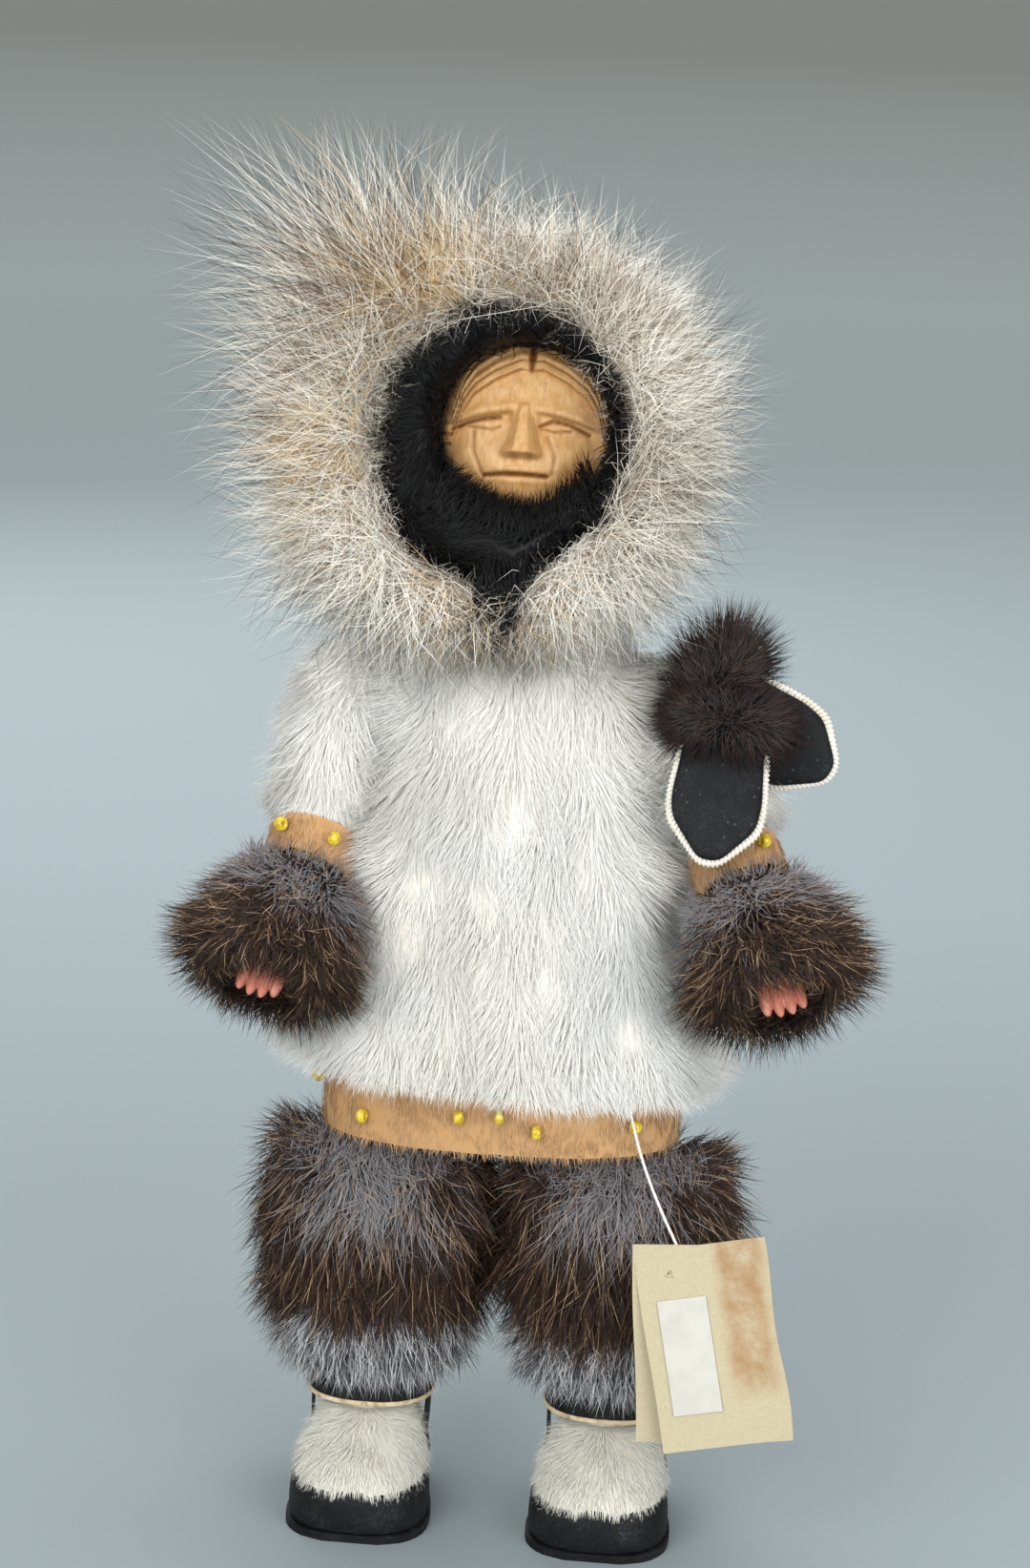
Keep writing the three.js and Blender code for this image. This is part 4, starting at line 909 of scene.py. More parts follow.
def close_edit():
    """Turns all faces outward and leaves the mesh."""
    bpy.ops.mesh.select_all(action="SELECT")
    bpy.ops.mesh.normals_make_consistent(inside=False)
    bpy.ops.object.mode_set(mode="OBJECT")


def copy_node(node, name):
    """A merged copy of a CAD node's mesh as a new object."""
    made = bpy.data.objects.new(name, frame["nodes"][node].data.copy())
    bpy.context.collection.objects.link(made)
    only(made)
    edit_all()
    bpy.ops.mesh.remove_doubles(threshold=1e-6)
    close_edit()
    return made


def paint_node(node, material):
    """Gives a CAD node that is shown as it is its material."""
    mesh = frame["nodes"][node].data
    mesh.materials.clear()
    mesh.materials.append(material)


def coordinates(thing):
    flat = np.empty(len(thing.data.vertices) * 3)
    thing.data.vertices.foreach_get("co", flat)
    return flat.reshape(-1, 3)


def set_coordinates(thing, points):
    thing.data.vertices.foreach_set("co", np.asarray(points, float).ravel())
    thing.data.update()


def new_grid(columns, rows, size=1.0):
    """A flat grid as a new object, with its two coordinates."""
    bpy.ops.mesh.primitive_grid_add(
        x_subdivisions=columns, y_subdivisions=rows, size=size, location=(0, 0, 0))
    made = bpy.context.object
    u, v, _ = coordinates(made).T
    return made, u, v


def new_loop(points, filled=True):
    """A closed outline through points in metres, as a new object."""
    kind = "NGON" if filled else "NOTHING"
    bpy.ops.mesh.primitive_circle_add(vertices=len(points), radius=1.0, fill_type=kind)
    set_coordinates(bpy.context.object, points)
    return bpy.context.object


def tubes(name, lines, radius, resolution):
    """Round wires through lines of points in metres, as a curve object."""
    curve = bpy.data.curves.new(name, "CURVE")
    curve.dimensions = "3D"
    curve.bevel_depth = radius * MM
    curve.bevel_resolution = resolution
    curve.use_fill_caps = True
    for line in lines:
        spline = curve.splines.new("POLY")
        spline.points.add(len(line) - 1)
        for point, place in zip(spline.points, line):
            point.co = (*place, 1.0)
    made = bpy.data.objects.new(name, curve)
    bpy.context.collection.objects.link(made)
    return made


def turned(x, y, z, order="XYZ"):
    """A turn about the axes, in degrees."""
    return Euler([math.radians(a) for a in (x, y, z)], order).to_matrix().to_4x4()


def in_world(x, y, z, world):
    """Places in millimetres of a matrix's own space, as metres in the doll's."""
    local = np.stack([x, y, z, np.full_like(x, 1 / MM)], -1) * MM
    return (local @ np.array(world).T)[..., :3]


def even_loop(points, count, rounds):
    """A closed flat outline as evenly spaced points, its corners rounded."""
    loop = np.vstack([points, points[:1]])
    far = np.concatenate([[0], np.cumsum(np.linalg.norm(np.diff(loop, axis=0), axis=1))])
    at = np.linspace(0, far[-1], count, endpoint=False)
    even = np.stack([np.interp(at, far, loop[:, k]) for k in range(2)], 1)
    for _ in range(rounds):
        even = (np.roll(even, 1, 0) + 2 * even + np.roll(even, -1, 0)) / 4
    return even


class DOLL_OT_stage(bpy.types.Operator):
    """Makes the camera, the floor and the soft studio light"""

    bl_idname = "doll.stage"
    bl_label = "Stage"

    def execute(self, context):
        stage = context.scene.doll_stage
        context.scene.view_settings.view_transform = "Standard"
        target = Vector((DOLL[0], DOLL[1], AIM_HEIGHT)) * MM
        a, e = stage.azimuth, stage.elevation
        back = Vector((math.sin(a) * math.cos(e), -math.cos(a) * math.cos(e), math.sin(e)))
        lens = bpy.data.cameras.new("camera")
        lens.sensor_width = SENSOR
        lens.lens = LENS
        lens.clip_start = 0.05
        camera = bpy.data.objects.new("camera", lens)
        context.collection.objects.link(camera)
        camera.location = target + back * stage.distance
        camera.rotation_mode = "QUATERNION"
        aim = (-back).to_track_quat("-Z", "Y")
        camera.rotation_quaternion = aim @ Quaternion((0, 0, 1), stage.roll)
        context.scene.camera = camera
        self.floor(context)
        self.lights(context, target)
        return {"FINISHED"}

    def floor(self, context):
        bpy.ops.mesh.primitive_circle_add(vertices=96, radius=FLOOR_RADIUS, fill_type="NGON")
        floor = context.object
        floor.name = "studio_floor"
        floor.data.materials.append(floor_paint())
        bpy.ops.object.select_all(action="DESELECT")

    def lights(self, context, target):
        # Soft area lights: place and size in metres, power in watts
        for name, place, size, power in (
            ("key", (-0.55, -1.25, 0.8), 0.9, 15.0),
            ("fill", (0.9, -1.1, 0.5), 1.0, 12.0),
            ("top", (0.1, 0.2, 1.4), 0.8, 7.0),
            ("back", (-0.5, 1.15, 0.9), 1.0, 7.0),
        ):
            lamp = bpy.data.lights.new(name, "AREA")
            lamp.size, lamp.energy = size, power
            made = bpy.data.objects.new(name, lamp)
            context.collection.objects.link(made)
            made.location = place
            made.rotation_mode = "QUATERNION"
            made.rotation_quaternion = (target - made.location).to_track_quat("-Z", "Y")
        world = bpy.data.worlds.new("studio")
        world.use_nodes = True
        context.scene.world = world
        tree = world.node_tree
        tree.nodes.clear()
        # Seen straight or mirrored, the world is a grey wall, and it lights as a white one
        glow = add(tree, "ShaderNodeBackground", {"Color": linear("#f4f3f1"), "Strength": 0.86})
        wall = add(tree, "ShaderNodeBackground", {"Color": linear("#7d8081"), "Strength": 1.0})
        ray = add(tree, "ShaderNodeLightPath").outputs
        seen = maths(tree, "MAXIMUM", ray["Is Camera Ray"], ray["Is Glossy Ray"])
        seen = maths(tree, "MAXIMUM", seen, ray["Is Transmission Ray"])
        both = add(tree, "ShaderNodeMixShader", {
            0: seen, 1: glow.outputs["Background"], 2: wall.outputs["Background"]})
        add(tree, "ShaderNodeOutputWorld", {"Surface": both.outputs["Shader"]})


class DOLL_OT_tag(bpy.types.Operator):
    """Hangs the folded card with its label on a thread under the hem"""

    bl_idname = "doll.tag"
    bl_label = "Tag"

    def execute(self, context):
        line, length = route(THREAD_ROUTE, 33)
        thread = tubes("hang_thread", [(line + THREAD_EXIT) * MM], 0.4, 3)
        thread.data.materials.append(thread_cotton())
        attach(thread, "tag")
        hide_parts("tag_thread")
        place = Matrix.Translation(Vector(CARD_PLACE) * MM) @ turned(*CARD_TURN)
        front = self.leaf("card_front", place, CARD_LEAN, 0.0, 1)
        back = self.leaf("card_back", place, -CARD_LEAN, 8.0, -1)
        only(front)
        back.select_set(True)
        bpy.ops.object.join()
        finish_piece(front, "card", tag_card(), "tag", ["tag_card"], 30)
        self.label(place)
        return {"FINISHED"}

    def warp(self, u, v):
        """How far the card's soft warps and lifted corner stand out, by its shares across and up."""
        wavy = 0.5 * np.sin(u * 3.1 + 0.4) * (1 - v) ** 1.2 + 0.35 * np.sin(v * 5.0 + u * 2)
        corner = 2.2 * np.clip((u - 0.55) / 0.45, 0, 1) ** 2 * (1 - v) ** 1.6
        return wavy * v * (1 - v) * 4 * 0.6 + corner

    def leaf(self, name, place, lean, skew, facing):
        """One leaf of the card, hanging from the fold."""
        made, u, v = new_grid(36, 56)
        u, v = u + 0.5, v + 0.5
        x, z = (u - 0.5) * CARD_WIDE, (v - 1.0) * CARD_HIGH
        x = x + 0.25 * np.sin(v * 6.5) * np.abs(u - 0.5) * 2 + 0.4 * np.sin(v * 9.0) * (u > 0.93)
        world = place @ (turned(lean, 0, 0) @ turned(0, skew, 0))
        set_coordinates(made, in_world(x, -self.warp(u, v) * facing, z, world))
        sheet = made.data.uv_layers.active or made.data.uv_layers.new()
        sheet.name = "sheet"
        apply_modifier(made, "SOLIDIFY", thickness=0.5 * MM, offset=0.0)
        made.name = name
        self.hole(made, world)
        return made

    def hole(self, made, world):
        """The small hole near the fold."""
        bpy.ops.mesh.primitive_cylinder_add(vertices=3, radius=1.5 * MM, depth=6 * MM, location=(0, 0, 0))
        punch = bpy.context.object
        punch.matrix_world = world @ Matrix.Translation(Vector(CARD_HOLE) * MM) @ turned(90, 20, 0)
        bpy.context.view_layer.update()
        apply_modifier(made, "BOOLEAN", operation="DIFFERENCE", object=punch, solver="EXACT")
        bpy.data.objects.remove(punch)

    def label(self, place):
        """The plain label on the front leaf, following its warps, one corner lifted."""
        made, u, v = new_grid(14, 32)
        u, v = u + 0.5, v + 0.5
        x, z = LABEL_X + (u - 0.5) * LABEL_WIDE, LABEL_Z + (v - 0.5) * LABEL_HIGH
        lift = 0.25 * np.clip((u - 0.8) / 0.2, 0, 1) * np.clip((0.15 - v) / 0.15, 0, 1)
        depth = -self.warp(x / CARD_WIDE + 0.5, 1 + z / CARD_HIGH) - 0.62 - lift
        set_coordinates(made, in_world(x, depth, z, place @ turned(CARD_LEAN, 0, 0)))
        apply_modifier(made, "SOLIDIFY", thickness=0.25 * MM, offset=0.0)
        finish_piece(made, "label", sticker_paper(), "tag", ["tag_sticker"], 30)


class DOLL_OT_body(bpy.types.Operator):
    """Stuffs the trunk and limbs and finishes the wooden core"""

    bl_idname = "doll.body"
    bl_label = "Stuffed body"

    def execute(self, context):
        limbs = [(f"{limb}_{side}", f"{side}_{limb}") for side in SIDES for limb in ("arm", "leg")]
        for node, body in [("trunk", "torso"), *limbs]:
            made = copy_node(node, f"stuffed_{node}")
            apply_modifier(made, "SUBSURF", levels=1, render_levels=1)
            finish_piece(made, f"stuffed_{node}", cotton(), body, [node], 60)
        for node in ("head_core", "neck_post"):
            paint_node(node, carved_wood())
        return {"FINISHED"}


class DOLL_OT_parka(bpy.types.Operator):
    """Grows the white parka and its sleeves"""

    bl_idname = "doll.parka"
    bl_label = "Parka and sleeves"

    def execute(self, context):
        long = fur_length("parka")
        heights = np.linspace(NECK - 1.0, HEM + 0.4, 44)
        slant = HEM_SLANT * np.clip(1 - (heights - HEM) / SLANT_RISE, 0, 1)
        points = level_rings("parka", heights, slant=slant, sides=72)
        flare = 0.05 * ease(HEM + 34, HEM, heights) - 0.08 * ease(NECK - 8, NECK, heights)
        points += (points - points.mean(1, keepdims=True)) * [1, 1, 0] * flare[:, None, None]
        # Hair fills the valley between the chest and the sleeves
        x, y, z = np.moveaxis(points - DOLL, -1, 0)
        fill = bell(np.abs(x), 42, 13) * ease(150, 188, z) * ease(252, 236, z) * ease(2, -14, y)
        points[..., 1] -= 6.5 * fill
        grid = swell(surface(points), 0.9, 30.0, 3)

        def over_hem(r):
            """Height over the slanted hem."""
            return r["place"][:, 2] - (HEM - HEM_SLANT * (r["place"][:, 0] - DOLL[0]))

        def flank(r):
            """Share beside the chest, where hair parts toward the sleeves."""
            p = r["place"] - DOLL
            return ease(22, 32, np.abs(p[:, 0])) * ease(180, 200, p[:, 2])

        def flow(r):
            side = r["sin"] * r["cos"]
            outward = np.sign(r["place"][:, :1] - DOLL[0]) * (r["out"][:, 1:2] < 0.2) * [1.0, 0, 0]
            parting = (0.4 * r["out"] + outward) * flank(r)[:, None]
            return r["down"] + 0.12 * r["round"] * side[:, None] + parting

        def length(r):
            return np.minimum(long * (1 + 0.7 * flank(r)), np.clip((over_hem(r) + 3.0) / 0.68, 3.5, None))

        def lift(r):
            near = ease(20.0, 4.0, over_hem(r))[:, None]
            return 0.4 + 1.2 * near, 0.1 + 0.75 * near

        def shade(r, a, b):
            cream = wander(r["place"], 46.0, 5)[:, 0] + ease(26, 8, np.abs(r["place"][:, 0] - DOLL[0]))
            return 0.84 + 0.32 * (a - 0.45) - 0.13 * np.clip(cream, -0.3, 2.0)

        common = dict(sway=0.5, patch=21, flow=flow, shade=shade, soft=0.9, sink=SKIN_DEPTH, rings=1)
        thick = dict(common, length=length, width=0.33, lift=lift, spread=0.26, clump=0.15, tuft=12.0)
        wisps = dict(common, length=lambda r: 1.25 * length(r), width=0.22, lift=(0.7, 0.22), spread=0.34,
                     clump=0.2)
        wall = hide(grid, SKIN_DEPTH, SKIN_WALL)
        for name, count, seed, half, skin, nodes in (
            ("parka_front_fur", 35000, 11, -1, [wall], ["parka"]),
            ("parka_back_fur", 24500, 12, 1, [], ()),
        ):
            def facing(r, half=half):
                return half * (r["sin"] - 0.05) > 0

            hairs = coat(grid, count, seed, weight=facing, **thick)
            strays = coat(grid, 2200, seed + 2, weight=facing, **wisps)
            pelt(name, [*skin, hairs, strays], white_rabbit(), "torso", nodes)
        for n, (side, sign) in enumerate(SIDES.items()):
            middles, across, over = arm_line(side, *SLEEVE_RUN, 26)
            sleeve = swell(surface(rings_on(f"sleeve_{side}", middles, across, over, 48)), 0.7, 24.0, 4)
            toward = np.array([-sign, 0, 0])

            def inward(r):
                return r["down"] + 0.8 * toward * ease(-0.3, 0.5, r["out"] @ toward)[:, None]

            def trimmed(r):
                return long * 1.1 * (1 - 0.66 * ease(0.7, 0.98, r["row"]))

            common = dict(sway=0.4, patch=20, shade=shade, flow=inward, sink=SKIN_DEPTH, soft=0.88)
            hairs = coat(sleeve, 13500, 21 + n, trimmed, 0.36, lift=(0.5, 0.16), spread=0.22, clump=0.34,
                         tuft=16.0, rings=1, **common)
            strays = coat(sleeve, 900, 25 + n, lambda r: 1.2 * trimmed(r), 0.22, lift=(0.9, 0.35), spread=0.4,
                          clump=0.2, **common)
            skin = hide(sleeve, SKIN_DEPTH, SKIN_WALL, (True, False))
            pelt(f"sleeve_fur_{side}", [skin, hairs, strays], white_rabbit(), f"{side}_arm",
                 [f"sleeve_{side}"])
        return {"FINISHED"}


class DOLL_OT_hood(bpy.types.Operator):
    """Grows the white hood behind the ruff"""

    bl_idname = "doll.hood"
    bl_label = "Hood"

    def execute(self, context):
        long = fur_length("parka")
        # Rings lie closer where the crown rounds over
        bend = np.linspace(HOOD_BEND + 2, HOOD_TOP, 6)
        heights = np.concatenate([np.linspace(HOOD_END, HOOD_BEND, 30), bend])[::-1]
        points = level_rings("hood", heights, y=HOOD_BACK, sides=64)
        middle = points[0].mean(0)
        crown = [middle + s * (points[0] - middle) + [0, 0, 1.2 * (1 - s * s)] for s in (0.05, 0.35, 0.7)]
        points = np.concatenate([crown, points])
        tilt = math.tan(-HEAD_TILT)
        points[..., 1] = np.maximum(points[..., 1], HEAD[1] - 3.0 + (points[..., 2] - HEAD[2]) * tilt)
        grid = swell(surface(points), 0.9, 30.0, 7)

        def behind(r):
            front = HEAD[1] - 4.0 + (r["place"][:, 2] - HEAD[2]) * tilt
            return r["place"][:, 1] > front + 0.8

        def flow(r):
            return r["down"] + np.array([0, 0.35, 0])

        def shade(r, a, b):
            return 0.76 + 0.5 * (a - 0.45) - 0.14 * np.clip(wander(r["place"], 40.0, 6)[:, 0], -0.3, 1.5)

        def length(r):
            return long * (1.15 + 0.4 * ease(0.84, 1.0, r["row"]))

        common = dict(patch=20, flow=flow, shade=shade, weight=behind, sink=SKIN_DEPTH, soft=0.72, rings=1)
        hairs = coat(grid, 27000, 31, length, 0.36, lift=(0.62, 0.3), sway=0.55, spread=0.24, clump=0.4,
                     tuft=18.0, **common)
        strays = coat(grid, 2200, 32, long * 1.4, 0.22, lift=(0.9, 0.4), sway=0.5, spread=0.4, clump=0.2,
                      **common)
        skin = hide(grid, SKIN_DEPTH, SKIN_WALL, (True, False))
        pelt("hood_fur", [skin, hairs, strays], white_rabbit(), "head", ["hood"])
        return {"FINISHED"}


def lining_edge(angle, grow=0.0):
    """Outer edge of the black lining in the head's front plane, with its tail under the chin."""
    grow = grow + 5.0 * hump(np.mod(angle, FULL_TURN), 234, 25)
    x = LINING_X + (LINING_WIDE + grow) * np.cos(angle)
    z = LINING_Z + (LINING_HIGH + grow) * np.sin(angle) - 8.5 * lobe(angle, LINING_TAIL, 11)
    return np.stack([x, z], -1)


def ruff_edge(angle):
    """Reach of the ruff's hair in the head's front plane, with its tuft."""
    tuft = 1 + 16.0 / RUFF_WIDE * lobe(angle, RUFF_TUFT, 13)
    return np.stack([RUFF_WIDE * np.cos(angle) * tuft + RUFF_X, RUFF_HIGH * np.sin(angle) * tuft], -1)


def fur_ring(inner, outer, front, back, steps, sides):
    """A torus of fur between two outlines of the head's own front plane."""
    angle = np.linspace(0, FULL_TURN, steps, endpoint=False)
    turn = np.linspace(0, FULL_TURN, sides, endpoint=False)
    near, far = inner(angle)[:, None], outer(angle)[:, None]
    flat = (near + far) / 2 + (far - near) / 2 * np.cos(turn)[None, :, None]
    y = front + (back - front) * (1 + np.sin(turn)) / 2
    y = np.broadcast_to(y, flat.shape[:2])
    return surface(head_place(np.stack([flat[..., 0], y, flat[..., 1]], -1)), ring=True)


def head_way(flat, forward):
    """Directions of the head's front plane, with a lean to the back, in the doll's frame."""
    lean = np.broadcast_to(forward, len(flat))
    return head_place(np.stack([flat[:, 0], lean, flat[:, 1]], 1)) - HEAD


class DOLL_OT_ruff(bpy.types.Operator):
    """Grows the long ruff round the hood"""

    bl_idname = "doll.ruff"
    bl_label = "Ruff"

    def execute(self, context):
        reach = context.scene.doll_fur.ruff

        def inner(a):
            return lining_edge(a, -2.6 - 2.4 * np.clip(np.sin(a), 0, 1))

        def hanging(a):
            """Share of the ruff's lower part, whose hair hangs."""
            return ease(-0.3, -0.85, np.sin(a))

        def outer(a):
            share = 0.46 + 0.16 * hanging(a)
            return inner(a) + share[:, None] * (ruff_edge(a) - inner(a))

        grid = fur_ring(inner, outer, FUR_FRONT, RUFF_BACK, 96, 24)

        def lock(a):
            """Share of the side lock, which lies over to the doll's right."""
            return lobe(a, SIDE_LOCK, 19)

        def top(r):
            return hump(r["angle"], RUFF_TOP, 34)

        def flow(r):
            a = r["angle"]
            share = lock(a)[:, None]
            way = unit(ruff_edge(a) - inner(a)) * (1 - share) + share * np.array([-0.91, 0.4])
            way[:, 1] -= 0.3 * hanging(a)
            return unit(head_way(way, -0.1 - 0.45 * hanging(a) + 0.9 * ease(0.1, 0.7, r["sin"])))

        def room(r):
            a = r["angle"]
            free = np.linalg.norm(ruff_edge(a) - inner(a), axis=1) * (1 - 0.23 * (1 + r["cos"]))
            side = 4.0 * np.clip(np.cos(a), 0, 1) + 6.0 * np.clip(-np.cos(a), 0, 1)
            return free * (1 + 0.5 * lock(a)) + 11.0 * hanging(a) + side

        def lift(r):
            inward = ease(0.1, -0.9, r["cos"])[:, None]
            near_head = np.clip(30.0 / room(r), 0.5, 1.0)[:, None]
            return (0.62 - 0.5 * inward) * near_head, (0.12 - 0.1 * inward) * near_head

        def parted(r):
            """Share of hair left where the lining's tail hangs through."""
            return 1 - 0.75 * hump(r["angle"], LINING_TAIL, 8)

        # Cosine round the fur ring inside which only wool grows
        inner_edge = -0.72

        def seen(r):
            behind = (r["sin"] > 0.25) * (r["cos"] > 0.1) * (np.sin(r["angle"]) > -0.3)
            share = 0.25 + 0.75 * (r["sin"] < 0.25) + 0.35 * (r["cos"] > 0.3) + 0.5 * behind
            return share * (r["cos"] > inner_edge) * parted(r)

        def woolly(r):
            return seen(r) + (r["cos"] <= inner_edge) * (r["sin"] < 0.3) * parted(r)

        def near(r, x, z, size):
            """Share of a round patch of colour, by its middle and size."""
            p = r["place"] - HEAD
            return np.exp(-((p[:, 0] - x) ** 2 + (p[:, 2] - z) ** 2) / size**2)

        def tan_patch(r):
            return near(r, -24, 39, 11) + 0.7 * near(r, -52, -8, 15) + 0.55 * near(r, -6, -48, 17)

        def grey_patch(r):
            return near(r, -40, 22, 10) + 1.3 * near(r, 10, 40, 22) + 0.6 * near(r, 34, -10, 14)

        def wool(r, a, b):
            tint = 0.72 + 0.2 * (a - 0.4) + 0.1 * wander(r["place"], 30.0, 8)[:, 0] - 0.2 * grey_patch(r)
            # Hanging wool is painted lighter, to offset the shade under the chin
            tint = tint - 0.15 * ease(0.0, -0.8, r["cos"]) + 0.3 * hanging(r["angle"])
            return np.where(b < 1.2 * tan_patch(r), 0.2 + 0.18 * a, np.clip(tint, 0.44, 0.95))

        def guard(r, a, b):
            low = hanging(r["angle"])
            base = np.where(a < 0.7, 0.8 + 0.27 * a, 0.4 + 0.3 * a) - 0.2 * grey_patch(r) * (a > 0.25)
            # Hanging hairs are painted lighter and fewer are dark, to offset the shade under the chin
            base = np.clip(base + 0.2 * low, 0, 1)
            dark = (0.12 + 0.42 * lock(r["angle"]) + 0.12 * grey_patch(r)) * (1 - 0.6 * low)
            base = np.where(b < dark, 0.02 + 0.1 * a, base)
            return np.where((b > 0.6) & (tan_patch(r) > 0.5 * a + 0.25), 0.22 + 0.2 * a, base)

        def soft_depth(r):
            return np.minimum(22.0, 0.6 * room(r) + 4) * (1 - 0.4 * top(r)) + 5.0 * hanging(r["angle"])

        def long(r):
            return (room(r) * 1.02 + 3.0) * (1 + 0.25 * lock(r["angle"])) * reach

        def clear(tips):
            """Shortens hairs whose tips come over the lining."""
            p = tips - HEAD
            out = np.hypot((p[:, 0] - LINING_X) / LINING_WIDE, (p[:, 2] - LINING_Z) / LINING_HIGH)
            return np.clip(ease(0.7, 1.02, out), 0.25, 1)

        def across_edge(r):
            left = hump(r["angle"], 160, 42)
            return (r["cos"] < -0.25) * (r["sin"] < 0.3) * (0.25 + 1.6 * left) * parted(r)

        def rim(r):
            return seen(r) * (r["cos"] > -0.2) * (r["sin"] < 0.35)

        common = dict(lift=lift, flow=flow, sink=1.0, keep=clear)
        under = coat(grid, 18400, 41, soft_depth, 0.38, sway=0.8, patch=9, spread=0.55, clump=0.26, tuft=6.0,
                     wave=3.0, shade=wool, weight=woolly, soft=0.8, **common)
        pelt("ruff_wool", [hide(grid, 1.0, tone=(0.5, 0.8)), under], ruff_fur(), "head",
             ["hood_ruff"])
        for n, (side, sign) in enumerate(SIDES.items()):
            def half(r):
                return seen(r) * (1 - 0.45 * top(r)) * (sign * (r["place"][:, 0] - HEAD[0] + 8) >= 0)

            hairs = coat(grid, 7600, 42 + n, long, 0.24, sway=0.85, patch=10, spread=0.6, clump=0.16,
                         tuft=5.0, wave=4.6, shade=guard, rings=3, vary=(0.4, 1.2), few=2.2, soft=0.5,
                         weight=half, **common)
            pelt(f"ruff_guard_{side}", [hairs], ruff_fur(), "head")
        wild = coat(grid, 1500, 47, lambda r: long(r) + 9.0, 0.2, sway=0.6, patch=12, spread=0.55, clump=0.0,
                    wave=4.2, shade=lambda r, a, b: np.where(a < 0.45, 0.04, 0.94), rings=3, weight=rim,
                    vary=(0.75, 1.06), soft=0.4, **common)
        curls = coat(grid, 3000, 48, 9.0, 0.2, lift=(1.0, 0.75), sway=0.9, patch=9, spread=0.8, clump=0.2,
                     wave=2.6, flow=lambda r: 0.25 * r["down"], shade=lambda r, a, b: 0.5 + 0.4 * a, rings=3,
                     weight=across_edge, sink=1.0, soft=0.6)
        pelt("ruff_stray_hairs", [wild, curls], ruff_fur(), "head")
        return {"FINISHED"}


class DOLL_OT_lining(bpy.types.Operator):
    """Grows the short black fur round the face"""

    bl_idname = "doll.lining"
    bl_label = "Lining"

    def execute(self, context):
        long = fur_length("lining")

        def inner(a):
            return np.stack([LINING_HOLE_WIDE * np.cos(a), FACE_DROP + LINING_HOLE_HIGH * np.sin(a)], -1)

        grid = fur_ring(inner, lining_edge, FUR_FRONT, LINING_BACK, 80, 20)

        def flow(r):
            a = r["angle"]
            turn_in = ease(-0.35, -0.8, np.sin(a)) * 1.3 - 0.85
            tail = hump(a, LINING_TAIL, 16) * (r["cos"] > -0.2)
            way = -unit(lining_edge(a) - inner(a)) * (turn_in * (1 - tail))[:, None]
            return head_way(way + np.stack([0.25 * np.ones_like(a), -1.2 * tail], 1), -0.25)

        def length(r):
            return long * (1 - 0.3 * ease(-0.4, -0.9, np.sin(r["angle"])) * (r["cos"] < 0))

        def tail_roots(r):
            return (np.abs(r["row"] - (LINING_TAIL - 2) / 360) < 0.03) * (r["cos"] > 0.1) * (r["sin"] < 0.2)

        def chin_roots(r):
            a = r["row"] * 360
            return (a > CHIN_HAIR[0]) * (a < CHIN_HAIR[1]) * (r["cos"] < -0.4) * (r["sin"] < -0.05)

        def over_chin(r):
            return head_way(unit(inner(r["angle"]) - lining_edge(r["angle"])), -0.1)

        hairs = coat(grid, 7800, 51, length, 0.4, lift=(0.9, 0.3), sway=0.45, patch=12, spread=0.26,
                     clump=0.6, tuft=8.0, wave=0.5, soft=0.45, flow=flow, sink=2.0,
                     weight=lambda r: r["sin"] < 0.55)
        tail = coat(grid, 480, 52, 19.0, 0.45, lift=(0.5, 0.1), sway=0.25, patch=8, spread=0.2, clump=0.7,
                    tuft=40.0, wave=0.8, soft=0.4, weight=tail_roots, sink=1.0,
                    flow=lambda r: np.tile([0.1, -0.95, -0.9], (len(r["row"]), 1)))
        spikes = coat(grid, 520, 53, 8.4, 0.36, lift=(0.3, 0.05), sway=0.3, patch=7, spread=0.22, clump=0.8,
                      tuft=12.0, wave=0.6, soft=0.4, weight=chin_roots, sink=1.0, flow=over_chin)
        parts = [hide(grid, 2.0), hairs, tail, spikes]
        pelt("lining_fur", parts, black_fur(), "head", ["face_lining"])
        return {"FINISHED"}


def near_line(x, z, points):
    """Distance from each place to a line of points."""
    best = np.full(x.shape, 1e9)
    for (ax, az), (bx, bz) in zip(points, points[1:]):
        dx, dz = bx - ax, bz - az
        t = np.clip(((x - ax) * dx + (z - az) * dz) / (dx * dx + dz * dz), 0, 1)
        best = np.minimum(best, np.hypot(x - ax - t * dx, z - az - t * dz))
    return best


def dab(x, z, middle, size):
    """A smooth rise that is 1 at its middle, over a width and a height."""
    return np.exp(-(((x - middle[0]) / size[0]) ** 2) - ((z - middle[1]) / size[1]) ** 2)


# Knife cuts of the face: points across and up, depth and half width, in millimetres
CUTS = [
    ([(-19.5, -0.2), (-15, 1.7), (-11, 2.9), (-6.6, 3.5)], 1.1, 0.75),
    ([(-15.5, 0.7), (-12, 0.4), (-8.6, 0.1), (-6.4, 1.1)], 0.6, 0.5),
    ([(4.2, 1.6), (7.5, 3.2), (12, 2.4), (17.2, -0.1)], 1.1, 0.75),
    ([(4.6, 1.0), (8, 0.3), (12.5, 0.6)], 0.6, 0.5),
    ([(-10.2, -11.9), (-5, -11.3), (0, -11.2), (6.8, -11.5)], 1.5, 0.85),
    ([(-13.6, 0.2), (-13.4, -5.5), (-10.6, -12.0)], 0.55, 0.9),
    ([(6.6, -1.0), (8.8, -6.5), (8.2, -11.0)], 0.45, 0.9),
    ([(1.2, 16.4), (1.2, 19.0)], 1.4, 1.0),
    ([(1.2, 19.0), (1.2, 25.5)], 2.2, 1.3),
    ([(5.4, 13.6), (5.0, 8.6)], 0.25, 0.35),
]
# Lower edge of the carved hair: distance from the parting, and height
PARTING = 1.2
HAIRLINE = [(0, 16.2), (3.0, 16.6), (9.5, 13.6), (15.0, 9.6), (17.8, 5.2), (20.5, -4.0)]


